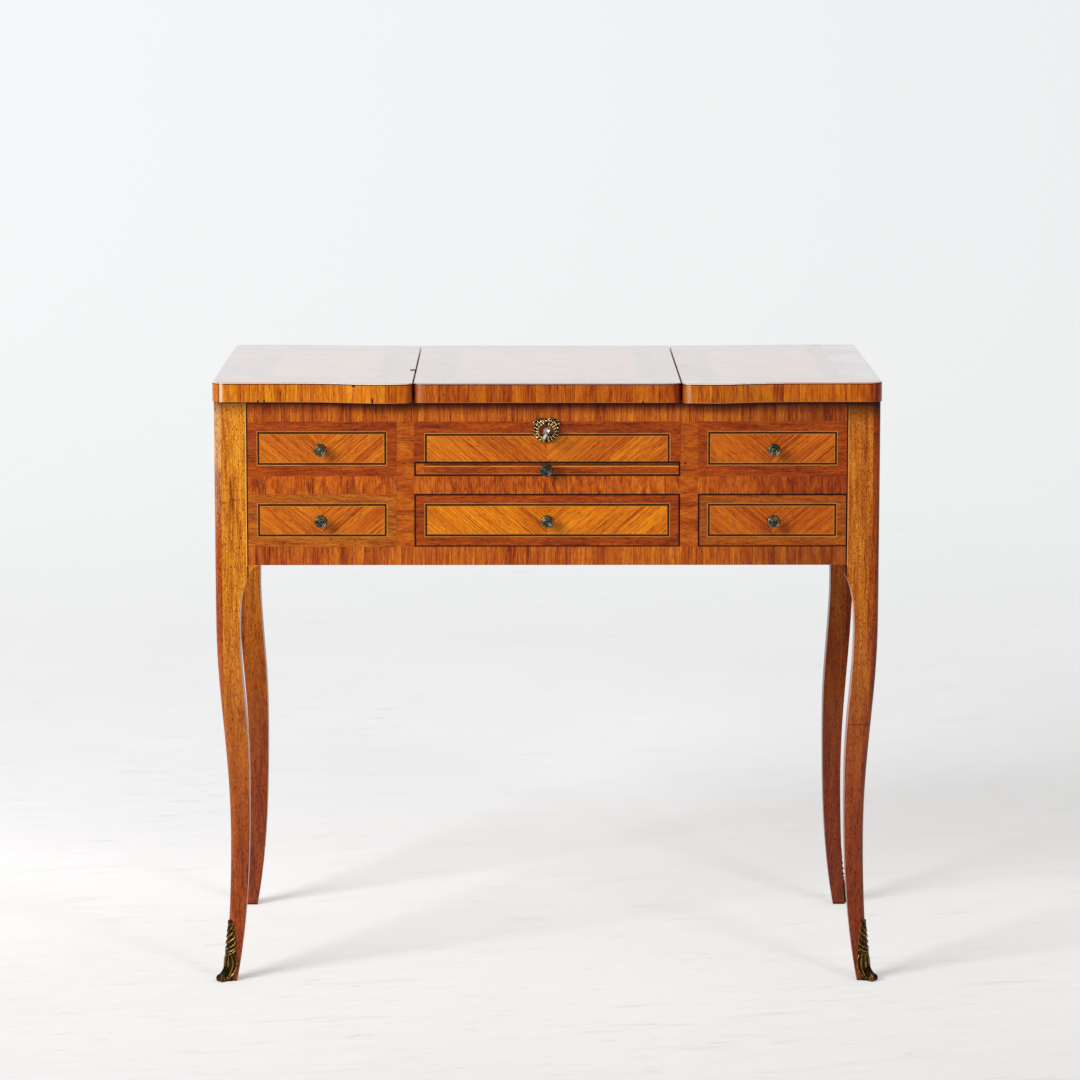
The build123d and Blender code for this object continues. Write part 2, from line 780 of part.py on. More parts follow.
with BuildPart() as lock_bolt:
    board((post_left, key_x + bolt_tail), bolt_span_y, bolt_z)
    board((post_left, post_left + post_width), bolt_span_y, (bolt_z[0], hook_z[1]))
    board((post_left, post_left + hook_length), bolt_span_y, hook_z)
    talon_middle = key_x - bolt_travel / 2
    board(
        around(talon_middle, talon_width / 2),
        bolt_span_y,
        (bolt_z[0], bolt_z[0] + talon_depth),
        mode=Mode.SUBTRACT,
    )
save(lock_bolt, "lock_bolt")

strike_thickness = 1.6
strike_half_length = 18

with BuildPart() as lock_strike:
    strike_z = (lid_bottom, lid_bottom + strike_thickness)
    board(around(key_x, strike_half_length), around(bolt_y, staple_half_width), strike_z)
    board(staple_x, around(bolt_y, staple_half_width), (lid_bottom - staple_drop, lid_bottom))
    board(
        staple_x,
        around(bolt_y, bolt_thickness / 2 + staple_clearance),
        (hook_z[0] - staple_clearance, hook_z[1] + staple_clearance),
        mode=Mode.SUBTRACT,
    )
save(lock_strike, "lock_strike")

# ---- Key ----
# A steel key with a flat oval bow. On its frame Z points out of the front, and X runs up along
# the bow, away from the bit.
bow_half_width = 10.85
bow_half_length = 12.5
bow_hole = (6.4, 7.4)
bow_thickness = 3
collar_radius = 3.8
collar_span = (6, 8)
bit_thickness = 2
bit_length = 6
shank_clearance = 1         # end of the shank inside the back of the case
shank_end = face_y - (case_y[1] - case_wall - shank_clearance)
bow_end = key_reach + set_back

with BuildPart() as key_form:
    with Locations((0, 0, shank_end)):
        Cylinder(key_shank_radius, bow_end - bow_half_length - shank_end,
                 align=(Align.CENTER, Align.CENTER, Align.MIN))
    for radii, depth, mode in (
        ((bow_half_width, bow_half_length), bow_thickness, Mode.ADD),
        (bow_hole, 2 * bow_thickness, Mode.SUBTRACT),
    ):
        with BuildSketch(Plane.XZ.offset(-depth / 2)):
            with Locations((0, bow_end - bow_half_length)):
                Ellipse(*radii)
        extrude(amount=depth, mode=mode)
    with Locations((0, 0, sum(collar_span) / 2)):
        Cylinder(collar_radius, collar_span[1] - collar_span[0])
    bit_start = face_y - bolt_y - bit_length / 2
    board((-bit_radius, 0), around(0, bit_thickness / 2), (bit_start, bit_start + bit_length))

with BuildPart() as key:
    put(key_form.part, [key_frame])
save(key, "key")

# ---- Middle lid with its mirror ----
# The lid carries a mirror in a mitred moulding on its underside, so that it shows when the lid
# stands up. The glass lies in the rebates of the moulding, against the lid.
centre_front_overhang = 11
centre_lid_half_width = seam_x - seam_gap / 2
centre_lid_y = (front_y - centre_front_overhang, back_y + rear_lid_overhang)

with BuildPart() as centre_lid:
    with BuildSketch(Plane.XY.offset(lid_bottom)) as centre_outline:
        with Locations((0, sum(centre_lid_y) / 2)):
            Rectangle(2 * centre_lid_half_width, centre_lid_y[1] - centre_lid_y[0])
        fillet(centre_outline.vertices().group_by(Axis.Y)[0], radius=seam_front_corner)
        fillet(centre_outline.vertices().group_by(Axis.Y)[-1], radius=seam_rear_corner)
    extrude(amount=lid_thickness)
    eased(centre_lid)
    put(rear_seat, rear_hinges, mode=Mode.SUBTRACT)
    add(lock_strike.part, mode=Mode.SUBTRACT)
save(centre_lid, "centre_lid")

hinge_side("centre_lid", ((rear_lid_leaf, rear_hinges, rear_leaf_reach),))

mirror_half_width = 150
mirror_y = (-155, 197)
moulding_width = 18
moulding_thickness = 6.5
rebate_width = 5
glass_thickness = 3
mitre_gap = 0.1
glass_inset = moulding_width - rebate_width
outer_corners = ((-1, 0), (1, 0), (1, 1), (-1, 1))


def frame_corner(corner, inset):
    """A corner of the mirror frame, brought in from its outer edge."""
    side, end = corner
    inward = 1 if end == 0 else -1
    return (side * (mirror_half_width - inset), mirror_y[end] + inward * inset)


glass_low = frame_corner(outer_corners[0], glass_inset)
glass_high = frame_corner(outer_corners[2], glass_inset)
glass_x = (glass_low[0], glass_high[0])
glass_y = (glass_low[1], glass_high[1])
glass_z = (lid_bottom - glass_thickness, lid_bottom)

with BuildPart() as mirror_frame:
    for index, corner in enumerate(outer_corners):
        following = outer_corners[(index + 1) % 4]
        with BuildSketch(Plane.XY.offset(lid_bottom - moulding_thickness)):
            Polygon(
                frame_corner(corner, 0),
                frame_corner(following, 0),
                frame_corner(following, moulding_width),
                frame_corner(corner, moulding_width),
                align=None,
            )
            offset(amount=-mitre_gap, kind=Kind.INTERSECTION, mode=Mode.REPLACE)
        extrude(amount=moulding_thickness)
    board(glass_x, glass_y, glass_z, mode=Mode.SUBTRACT)
save(mirror_frame, "mirror_frame")

with BuildPart() as mirror_glass:
    board(glass_x, glass_y, glass_z)
save(mirror_glass, "mirror_glass")

# ---- Sabots ----
# Cast shoes wrap the outer corner of each foot. The leaf narrows up the leg, its spine follows
# the rounded corner, and the toe curls out along the diagonal. The first two curves are
# (inset from the outer face, height). The spine is (distance out on the diagonal, height).
sabot_outer_curve = ((4.2, 0), (7.2, 30), (9.4, 60), (10.2, 77))
sabot_inner_curve = ((15, 77), (17.2, 64), (19.2, 50), (20.6, 35), (18.6, 15), (15, 0))
sabot_spine = ((2, -1), (-2.4, 30), (-5.3, 60), (-6.8, 78))
spine_cut = 20
toe_corner_inset = 8
toe_radius = 4.6
toe_reach = 9
toe_half_width = 4
toe_top = (-2.6, 34)
toe_slopes = ((0.1, -1), (1, -0.4))
toe_plane = Plane(
    origin=(carcass_half_width - toe_corner_inset, front_y + toe_corner_inset, 0),
    x_dir=(1, -1, 0),
    z_dir=(-1, -1, 0),
)


def sabot_profile(face, inward):
    """Outline of the leaf seen square on, from the face of the leg block inwards."""
    outer = [(face + inward * inset, level) for inset, level in sabot_outer_curve]
    inner = [(face + inward * inset, level) for inset, level in sabot_inner_curve]
    with BuildSketch() as profile:
        with BuildLine():
            Spline(*outer)
            Line(outer[-1], inner[0])
            Spline(*inner)
            Line(inner[-1], outer[0])
        make_face()
    return profile.sketch


with BuildPart() as sabot:
    with BuildSketch(leg_back_plane):
        add(sabot_profile(carcass_half_width, -1))
    extrude(amount=leg_cut_depth)
    with BuildSketch(leg_inner_plane):
        add(sabot_profile(front_y, 1))
    extrude(amount=leg_cut_depth, mode=Mode.INTERSECT)
    with BuildSketch(toe_plane.offset(-spine_cut)):
        with BuildLine():
            Spline(*sabot_spine)
            Polyline(
                sabot_spine[-1],
                (spine_cut, sabot_spine[-1][1]),
                (spine_cut, sabot_spine[0][1]),
                sabot_spine[0],
            )
        make_face()
    extrude(amount=2 * spine_cut, mode=Mode.SUBTRACT)
    with BuildSketch(toe_plane.offset(-toe_half_width)):
        with BuildLine():
            scroll_top = (toe_reach, 2 * toe_radius)
            Spline(toe_top, scroll_top, tangents=toe_slopes)
            Polyline(scroll_top, (toe_reach, 0), (-toe_radius, 0), (-toe_radius, toe_top[1]),
                     toe_top)
        make_face()
        with Locations((toe_reach, toe_radius)):
            Circle(toe_radius)
    extrude(amount=2 * toe_half_width)
    add(leg_front_right.part, mode=Mode.SUBTRACT)

with BuildPart() as sabots:
    add(sabot.part)
    mirror(about=Plane.YZ)
    mirror(about=across)
save(sabots, "sabots")
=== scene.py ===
import bpy
import math
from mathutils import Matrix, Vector


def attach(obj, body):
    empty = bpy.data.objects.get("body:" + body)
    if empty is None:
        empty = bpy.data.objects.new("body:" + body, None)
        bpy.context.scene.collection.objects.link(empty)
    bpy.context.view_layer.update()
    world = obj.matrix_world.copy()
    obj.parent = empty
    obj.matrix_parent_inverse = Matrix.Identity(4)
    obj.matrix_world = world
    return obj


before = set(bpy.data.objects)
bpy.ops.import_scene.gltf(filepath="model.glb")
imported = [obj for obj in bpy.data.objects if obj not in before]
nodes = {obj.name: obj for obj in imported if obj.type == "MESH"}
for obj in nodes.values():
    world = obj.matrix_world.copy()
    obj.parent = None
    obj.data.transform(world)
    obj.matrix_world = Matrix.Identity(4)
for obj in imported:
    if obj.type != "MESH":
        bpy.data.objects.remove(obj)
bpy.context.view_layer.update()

mm = 0.001

# ---- Studio ----
# A painted floor that turns up into a white backdrop, two large soft lamps above the front,
# and a camera with a long lens, a little above the top of the table.


def linear(hex_colour):
    """The linear RGBA that sockets take, from a colour written as sRGB hex."""
    channels = [int(hex_colour[i:i + 2], 16) / 255 for i in (1, 3, 5)]
    return [c / 12.92 if c <= 0.04045 else ((c + 0.055) / 1.055) ** 2.4 for c in channels] + [1.0]


def add_node(owner, kind, inputs=None, stops=None, **settings):
    """Add a node with its settings. A socket is linked where its value is another node, whose first
    output counts, or a socket, and set where it is a value. Hex colours are turned linear."""
    tree = owner.node_tree
    made = tree.nodes.new("ShaderNode" + kind)
    for name, value in settings.items():
        setattr(made, name, value)
    for socket, value in (inputs or {}).items():
        if isinstance(value, bpy.types.Node):
            value = value.outputs[0]
        if isinstance(value, bpy.types.NodeSocket):
            tree.links.new(value, made.inputs[socket])
        else:
            made.inputs[socket].default_value = linear(value) if isinstance(value, str) else value
    for index, (position, colour) in enumerate(stops or ()):
        if index >= len(made.color_ramp.elements):
            made.color_ramp.elements.new(position)
        made.color_ramp.elements[index].position = position
        made.color_ramp.elements[index].color = linear(colour)
    return made


def new_material(name):
    """An empty node material."""
    made = bpy.data.materials.new(name)
    made.use_nodes = True
    made.node_tree.nodes.clear()
    return made


def output(material, shader, inputs):
    """Add the shader of a material's surface."""
    add_node(material, "OutputMaterial", {"Surface": add_node(material, shader, inputs)})


def new_object(name, data):
    """An object with this data, in the scene."""
    made = bpy.data.objects.new(name, data)
    bpy.context.scene.collection.objects.link(made)
    return made


def only(piece=None):
    """Select nothing but this piece, and make it active."""
    bpy.ops.object.select_all(action="DESELECT")
    if piece:
        piece.select_set(True)
        bpy.context.view_layer.objects.active = piece


floor_front = -2.4
floor_back = 5.5
floor_half_width = 7.0
backdrop_height = 7.0
sweep_radius = 2.5


def flat_sheet(name, low, high):
    """A flat sheet at level 0 between two (x, y) corners."""
    only()
    middle = [(a + b) / 2 for a, b in zip(low, high)]
    bpy.ops.mesh.primitive_plane_add(size=1, location=(*middle, 0))
    made = bpy.context.object
    made.name = name
    made.scale = (high[0] - low[0], high[1] - low[1], 1)
    bpy.ops.object.transform_apply()
    return made


floor = flat_sheet("studio_floor", (-floor_half_width, floor_front), (floor_half_width, floor_back))
for vertex in floor.data.vertices:
    vertex.select = vertex.co.y > 0
for polygon in floor.data.polygons:
    polygon.select = False


def select_floor_edges(wanted):
    """Select the edges of the floor whose two ends are both wanted."""
    for edge in floor.data.edges:
        edge.select = all(wanted(floor.data.vertices[i].co) for i in edge.vertices)


select_floor_edges(lambda end: end.y > 0)
bpy.ops.object.mode_set(mode="EDIT")
bpy.ops.mesh.select_mode(type="EDGE")
bpy.ops.mesh.extrude_region_move(TRANSFORM_OT_translate={"value": (0, 0, backdrop_height)})
bpy.ops.object.mode_set(mode="OBJECT")
select_floor_edges(lambda end: end.y > 0 and end.z < 0.01)
bpy.ops.object.mode_set(mode="EDIT")
bpy.ops.mesh.bevel(offset=sweep_radius, segments=24)
bpy.ops.object.mode_set(mode="OBJECT")
bpy.ops.object.shade_smooth()


def axes(material):
    """X, Y and Z of each point of a piece, in metres."""
    return add_node(material, "SeparateXYZ", {0: add_node(material, "TexCoord").outputs["Object"]}).outputs


def seen_directly(owner):
    """1 for rays from the camera, from polish and through glass, and 0 for those that only light."""
    ray = add_node(owner, "LightPath").outputs
    seen = add_node(owner, "Math", {0: ray["Is Camera Ray"], 1: ray["Is Glossy Ray"]}, operation="MAXIMUM")
    return add_node(owner, "Math", {0: seen, 1: ray["Is Transmission Ray"]}, operation="MAXIMUM")


paint = new_material("floor_paint")
place = add_node(paint, "TexCoord").outputs["Object"]
clouds = add_node(paint, "TexNoise", {"Vector": place, "Scale": 0.9, "Detail": 5.0})
scuff_place = add_node(paint, "Mapping", {"Vector": place, "Rotation": (0, 0, 0.2),
                                          "Scale": (0.11, 0.022, 0.022)}, vector_type="TEXTURE")
scuffs = add_node(paint, "TexNoise", {"Vector": scuff_place, "Scale": 1.0, "Detail": 6.0,
                                      "Roughness": 0.7, "Distortion": 1.2})
scuff_tone = add_node(paint, "ValToRGB", {"Fac": scuffs},
                      stops=[(0.30, "#dadad9"), (0.42, "#ededee"), (0.62, "#f1f1f2")])
cloud_tone = add_node(paint, "ValToRGB", {"Fac": clouds}, stops=[(0.3, "#f3f3f4"), (0.7, "#ffffff")])
paint_colour = add_node(paint, "MixRGB", {"Fac": 1.0, "Color1": scuff_tone, "Color2": cloud_tone},
                        blend_type="MULTIPLY")
on_floor = axes(paint)
# Towards the front the floor paint is darker.
darker_to_front = add_node(paint, "MapRange", {"Value": on_floor["Y"], "From Min": -1.4, "From Max": 0.5,
                                       "To Min": 0.5})
paint_colour = add_node(paint, "HueSaturation", {"Color": paint_colour, "Value": darker_to_front})
# Painted shade: the glow of the backdrop fades towards the right, away from the key lamp.
painted_shade_to_right = add_node(paint, "MapRange", {"Value": on_floor["X"], "From Min": -1.3, "From Max": 1.3,
                                       "To Min": 1.01, "To Max": 0.94})
backdrop_glow = add_node(paint, "Emission", {"Color": "#f4f6f7", "Strength": painted_shade_to_right})
seen = seen_directly(paint)
lift = add_node(paint, "Math", {0: seen, 1: 0.34}, operation="MULTIPLY")
floor_lift = add_node(paint, "Emission", {"Color": "#f4f1ea", "Strength": lift})
floor_diffuse = add_node(paint, "BsdfDiffuse", {"Color": paint_colour})
floor_shader = add_node(paint, "AddShader", {0: floor_diffuse, 1: floor_lift})
fade = add_node(paint, "MapRange", {"Value": on_floor["Y"], "From Min": 0.4, "From Max": 5.0},
                interpolation_type="SMOOTHSTEP")
share = add_node(paint, "Math", {0: fade, 1: seen}, operation="MULTIPLY")
output(paint, "MixShader", {0: share, 1: floor_shader, 2: backdrop_glow})
floor.data.materials.append(paint)

world = bpy.data.worlds.new("studio")
bpy.context.scene.world = world
world.use_nodes = True
world.node_tree.nodes.clear()
room_light = 0.40
strength = add_node(world, "MapRange", {"Value": seen_directly(world), "To Min": room_light, "To Max": 0.95})
background = add_node(world, "Background", {"Color": "#fbfcff", "Strength": strength})
add_node(world, "OutputWorld", {"Surface": background})

# Dim walls round the set that glow with their own light and show only in reflections: a painted reflection
# of a dark room. Polish and metal mirror them beside the backdrop.
only()
bpy.ops.mesh.primitive_cube_add(size=24, location=(0, 0, 0))
walls = bpy.context.object
walls.name = "studio_walls"
for kind in ("camera", "diffuse", "transmission", "volume_scatter", "shadow"):
    setattr(walls, "visible_" + kind, False)
wall_glow = new_material("dim_wall_glow")
place = add_node(wall_glow, "TexCoord").outputs["Object"]
wall_cloud = add_node(wall_glow, "TexNoise", {"Vector": place, "Scale": 0.2, "Detail": 2.0})
wall_tone = add_node(wall_glow, "ValToRGB", {"Fac": wall_cloud}, stops=[(0.3, "#525355"), (0.7, "#606163")])
output(wall_glow, "Emission", {"Color": wall_tone})
walls.data.materials.append(wall_glow)


def lamp(name, place, aim, size, power):
    """A square soft lamp that faces a point."""
    light = bpy.data.lights.new(name, "AREA")
    light.size = size
    light.energy = power
    made = new_object(name, light)
    made.location = place
    made.rotation_euler = (Vector(aim) - Vector(place)).to_track_quat("-Z", "Y").to_euler()


lamp("key_lamp", (-3.3, -3.2, 2.7), (0, 0, 0.55), 2.1, 231)
lamp("second_lamp", (2.2, -3.5, 3.1), (0, 0, 0.55), 0.8, 32)

camera_data = bpy.data.cameras.new("camera")
camera_data.lens = 142.5
camera_data.sensor_width = 36
camera = new_object("camera", camera_data)
camera.location = (-0.030, -5.473, 1.3337)
camera.rotation_euler = (math.radians(90 - 8.338), 0, math.radians(-0.229))
bpy.context.scene.camera = camera
bpy.context.scene.view_settings.view_transform = "Standard"

# ---- Legs and knee brackets ----
# Each leg is one length of mahogany with a golden quartered face. A redder veneer from the
# sides of the carcass wraps round the outer corner. All of it is hand-rubbed shellac polish.


def pattern(material, vector, length, width, grain, detail, roughness, distortion=0.0):
    """Noise drawn out along the fibres, with marks so many mm long and wide."""
    laid = add_node(material, "Mapping",
                    {"Vector": vector, "Rotation": [math.radians(a) for a in grain],
                     "Scale": (length * mm, width * mm, width * mm)}, vector_type="TEXTURE")
    return add_node(material, "TexNoise", {"Vector": laid, "Scale": 1.0, "Detail": detail,
                                           "Roughness": roughness, "Distortion": distortion})


def grain_colour(material, tones, grain, streak, figure, strips=None, pores=0.4,
                 weights=(1.1, 0.9, 0.8), veins=0.0, waver=0.15, pore=(7, 0.75), pore_tone="#8a6a52"):
    """Colour and relief of a wood. tones run from dark to light, grain is the turn that lays X
    along the fibres, streak and figure are the (length, width) in mm of the fine and the broad
    marks, and strips is the (direction, width in mm) of the pieces that a band is made of."""
    place = add_node(material, "TexCoord").outputs["Object"]
    if strips:
        direction, width = strips
        along = add_node(material, "VectorMath", {0: place, 1: direction}, operation="DOT_PRODUCT")
        pieces = {"W": along.outputs["Value"], "Scale": 1 / (width * mm), "Randomness": 0.85}
        piece, joint = [add_node(material, "TexVoronoi", pieces, voronoi_dimensions="1D", feature=kind)
                        for kind in ("F1", "DISTANCE_TO_EDGE")]
        piece = piece.outputs["Color"]
        place = add_node(material, "VectorMath", {0: piece, 1: (0.4, 0.4, 0.4), 2: place},
                         operation="MULTIPLY_ADD")
    streaks = pattern(material, place, *streak, grain, 5.0, 0.62, waver)
    broad = pattern(material, place, *figure, grain, 2.0, 0.5, 0.6)
    parts = [streaks, broad] + ([add_node(material, "SeparateColor", {0: piece})] if strips else [])
    total = 0.5 - sum(weights[:len(parts)]) / 2
    for part, weight in zip(parts, weights):
        total = add_node(material, "Math", {0: part, 1: weight, 2: total}, operation="MULTIPLY_ADD")
    spots = [0.1 + 0.8 * index / (len(tones) - 1) for index in range(len(tones))]
    colour = add_node(material, "ValToRGB", {"Fac": total}, stops=list(zip(spots, tones)))
    vein = pattern(material, place, streak[0] * 1.4, streak[1] * 0.8, grain, 1.0, 0.5, 2 * waver)
    vein = add_node(material, "MapRange", {"Value": vein, "From Min": 0.56, "From Max": 0.66,
                                           "To Max": veins})
    colour = add_node(material, "MixRGB", {"Fac": vein, "Color1": colour, "Color2": tones[-1]})
    sunk = pattern(material, place, *pore, grain, 2.0, 0.5)
    dark = add_node(material, "ValToRGB", {"Fac": sunk}, stops=[(0.38, pore_tone), (0.48, "#ffffff")])
    colour = add_node(material, "MixRGB", {"Fac": pores, "Color1": colour, "Color2": dark},
                      blend_type="MULTIPLY")
    if strips:
        seam = 0.35 / width
        line = add_node(material, "ValToRGB", {"Fac": joint.outputs["Distance"]},
                        stops=[(seam * 0.4, "#6b4026"), (seam, "#ffffff")])
        colour = add_node(material, "MixRGB", {"Fac": 0.75, "Color1": colour, "Color2": line},
                          blend_type="MULTIPLY")
    return colour, add_node(material, "Math", {0: streaks, 1: sunk}, operation="ADD")


def marked(material, colour, value, marks):
    """Lines across a surface: (low mm, high mm, tone) along the value, in metres."""
    for low, high, tone in marks:
        line = add_node(material, "Math", {0: value, 1: (low + high) / 2 * mm, 2: (high - low) / 2 * mm},
                        operation="COMPARE")
        colour = add_node(material, "MixRGB", {"Fac": line, "Color1": colour, "Color2": tone})
    return colour


def painted_highlight(material, colour, value, middle, reach, strength, tone):
    """A soft painted highlight: a pale stripe at middle mm that fades out as far as reach."""
    away = add_node(material, "Math", {0: value, 1: middle * mm}, operation="SUBTRACT")
    away = add_node(material, "Math", {0: away}, operation="ABSOLUTE")
    share = add_node(material, "MapRange", {"Value": away, "From Min": reach * mm, "From Max": 0.0,
                                            "To Max": strength}, interpolation_type="SMOOTHSTEP")
    return add_node(material, "MixRGB", {"Fac": share, "Color1": colour, "Color2": tone})


def nicked(material, colour, nicks):
    """Small ragged dark losses in a front: (x, z, half width, half height) in mm."""
    place = add_node(material, "TexCoord").outputs["Object"]
    rough = add_node(material, "TexNoise", {"Vector": place, "Scale": 900.0, "Detail": 2.0})
    place = add_node(material, "VectorMath", {0: rough.outputs["Color"], 1: (1.6 * mm,) * 3, 2: place},
                     operation="MULTIPLY_ADD")
    for x, z, half_width, half_height in nicks:
        away = add_node(material, "VectorMath",
                        {0: place, 1: (1 / (half_width * mm), 0, 1 / (half_height * mm)),
                         2: (-(x + 0.8) / half_width, 0, -(z + 0.8) / half_height)},
                        operation="MULTIPLY_ADD")
        away = add_node(material, "VectorMath", {0: away}, operation="LENGTH")
        within = add_node(material, "Math", {0: away.outputs["Value"], 1: 1.0}, operation="LESS_THAN")
        colour = add_node(material, "MixRGB", {"Fac": within, "Color1": colour, "Color2": "#1e0d05"})
    return colour


def darkened(material, colour, value, low, high, tint):
    """Multiply a colour by a tint that comes in as the value goes from low to high, in metres."""
    share = add_node(material, "MapRange", {"Value": value, "From Min": low, "From Max": high})
    return add_node(material, "MixRGB", {"Fac": share, "Color1": colour, "Color2": tint},
                    blend_type="MULTIPLY")


def polish(material, colour, relief, coat=0.12, rub=0.34, film=1.5, gloss=0.3):
    """Shellac rubbed up over a wood: a clear gloss film that has sunk a little into the pores."""
    bump = add_node(material, "Bump", {"Height": relief, "Strength": 0.12, "Distance": 0.25 * mm})
    place = add_node(material, "TexCoord").outputs["Object"]
    wear = add_node(material, "TexNoise", {"Vector": place, "Scale": 35.0, "Detail": 4.0})
    rough = add_node(material, "MapRange", {"Value": wear, "To Min": rub - 0.07, "To Max": rub + 0.09})
    output(material, "BsdfPrincipled",
           {"Base Color": colour, "Roughness": rough, "Normal": bump, "Coat Weight": coat,
            "Coat Roughness": 0.06, "Coat IOR": film, "IOR": 1.45, "Specular IOR Level": gloss})


def veneer(name, tones, grain, streak, figure, seams=(), nicks=(), darkening_and_shade=(), rubbed=None, **facts):
    """A finished material of one polished wood. seams are (low mm, high mm, tone) lines that run
    upright, at the same distance from the middle on both sides. darkening_and_shade holds (axis, low,
    high, tint) of the places that are darker: darker wood, and the painted shadow of the lids.
    rubbed holds what polish takes."""
    made = new_material(name)
    colour, relief = grain_colour(made, tones, grain, streak, figure, **facts)
    at_point = axes(made)
    for axis, low, high, tint in darkening_and_shade:
        colour = darkened(made, colour, at_point[axis], low, high, tint)
    if nicks:
        colour = nicked(made, colour, nicks)
    if seams:
        outward = add_node(made, "Math", {0: at_point["X"]}, operation="ABSOLUTE")
        colour = marked(made, colour, outward, seams)
    polish(made, colour, relief, **(rubbed or {}))
    return made


def finish(material, *names):
    """Give CAD nodes their material."""
    for name in names:
        slots = nodes[name].data.materials
        slots.clear()
        slots.append(material)


upright = (0, -90, 0)
lengthwise = (0, 0, 0)
golden_face = ("#7a2e06", "#bb690e", "#d88b1c", "#efa82f")
red_side = ("#631d06", "#a04309", "#ba5a0c", "#ce7112")
wrap_edge = (413 - 9) * mm    # side veneer shows on the outer 9 mm of the front of a leg
leg = new_material("leg_mahogany")
gold = grain_colour(leg, golden_face, upright, (26, 1.6), (160, 8), pores=1.0,
                    weights=(1.3, 1.2, 0), veins=0.3, pore=(4, 0.9), pore_tone="#b8703c")[0]
red, red_relief = grain_colour(leg, red_side, upright, (22, 1.5), (110, 7), pores=0.9,
                               weights=(1.3, 1.0, 0), pore=(5, 0.85))
on_leg = axes(leg)
outward = add_node(leg, "Math", {0: on_leg["X"]}, operation="ABSOLUTE")
wrapped = add_node(leg, "MapRange", {"Value": outward, "From Min": wrap_edge - 0.5 * mm,
                                     "From Max": wrap_edge + 0.5 * mm})
lower = add_node(leg, "MapRange", {"Value": on_leg["Z"], "From Min": 0.52, "From Max": 0.16})
# Painted highlight: high up, the red strip round the outer corner of the left legs is made paler, where the
# lamp on the left falls on it.
highlit_red = add_node(leg, "HueSaturation", {"Color": red, "Hue": 0.53, "Saturation": 0.86, "Value": 1.5})
upper = add_node(leg, "MapRange", {"Value": on_leg["Z"], "From Min": 0.56, "From Max": 0.66})
left_half = add_node(leg, "MapRange", {"Value": on_leg["X"], "From Min": 0.1, "From Max": -0.1})
upper = add_node(leg, "Math", {0: upper, 1: left_half}, operation="MULTIPLY")
red = add_node(leg, "MixRGB", {"Fac": upper, "Color1": red, "Color2": highlit_red})
redness = add_node(leg, "Math", {0: wrapped, 1: lower}, operation="MAXIMUM")
leg_colour = add_node(leg, "MixRGB", {"Fac": redness, "Color1": gold, "Color2": red})
# A painted highlight runs up the inner edge of each leg above the knee brackets.
below = add_node(leg, "Math", {0: on_leg["Z"], 1: 0.53}, operation="LESS_THAN")
arris = add_node(leg, "Math", {0: outward, 1: below}, operation="ADD")
leg_colour = marked(leg, leg_colour, arris, [(373, 374.2, "#e9a848")])
# A hairline crack runs across the face of the right front leg.
crack = on_leg["Z"]
for axis, side in (("Y", "GREATER_THAN"), ("X", "LESS_THAN")):
    other_leg = add_node(leg, "Math", {0: on_leg[axis], 1: 0.0}, operation=side)
    crack = add_node(leg, "Math", {0: crack, 1: other_leg}, operation="ADD")
leg_colour = marked(leg, leg_colour, crack, [(327.5, 328.5, "#4a1c0a")])
# The legs are darker towards the right hand end and lower down. The rear legs carry painted shade, the foot
# of each leg a painted contact shadow, and the tops of the legs the painted shadow of the lids, lower on the
# right.
lid_shadow_level = add_node(leg, "Math", {0: on_leg["X"], 1: 0.012, 2: on_leg["Z"]}, operation="MULTIPLY_ADD")
for value, low, high, tint in ((on_leg["X"], 0.1, 0.4, "#e6d4ec"), (on_leg["Z"], 0.5, 0.1, "#d8c8c8"),
                               (on_leg["Y"], 0.10, 0.18, "#ece4de"), (on_leg["Z"], 3 * mm, 1 * mm, "#5a3a2a"),
                               (lid_shadow_level, 0.714, 0.738, "#4a3624")):
    leg_colour = darkened(leg, leg_colour, value, low, high, tint)
polish(leg, leg_colour, red_relief)
finish(leg, "leg_front_left", "leg_front_right", "leg_rear_left", "leg_rear_right")
leg_seam = [(371.3, 373.1, "#300e05")]
finish(veneer("bracket_mahogany", golden_face, upright, (26, 1.6), (60, 8), pores=1.0,
              weights=(1.3, 1.2, 0), seams=leg_seam, darkening_and_shade=[("X", 0.1, 0.3, "#8e6252")]), "knee_brackets")

# ---- Rails and stiles of the front ----
# Crossbanding: short strips of tulipwood laid side by side with their grain upright, and glued
# over the rails. Each strip has its own shade. The stiles are faced with grain that lies flat.
band_tones = ("#5e1506", "#983c08", "#b55410", "#cb6d16", "#d9811f")
# Painted shadow: the tops of the rails are darker where the lids overhang them.
painted_lid_shadow = ("Z", 0.720, 0.7345, "#794910")
finish(veneer("rail_crossband", band_tones, upright, (34, 1.3), (60, 6), pores=0.5,
              strips=((1, 0, 0), 15), weights=(1.3, 0.8, 0.25), veins=0.35, seams=leg_seam,
              darkening_and_shade=[("X", 0.18, 0.34, "#d6d1dc"), painted_lid_shadow]), "front_top_rail", "front_bottom_rail")
figured_band = veneer("figured_crossband", ("#742405", "#a74508", "#c15a0e", "#d87518"), upright,
                      (17, 1.9), (22, 8), pores=0.55, strips=((1, 0, 0), 38), waver=1.4,
                      weights=(1.6, 1.5, 0.15), veins=0.7, seams=leg_seam,
                      darkening_and_shade=[("X", 0.18, 0.30, "#cdb2c6")])
finish(figured_band, "middle_rails")
finish(veneer("stile_veneer", ("#772904", "#a34506", "#ba580d", "#cb7013"), lengthwise, (24, 1.8),
              (30, 10), pores=0.5, weights=(1.6, 1.5, 0), waver=1.6, veins=0.5,
              nicks=[(171.2, 658.8, 1.3, 1.3)]), "front_stiles")

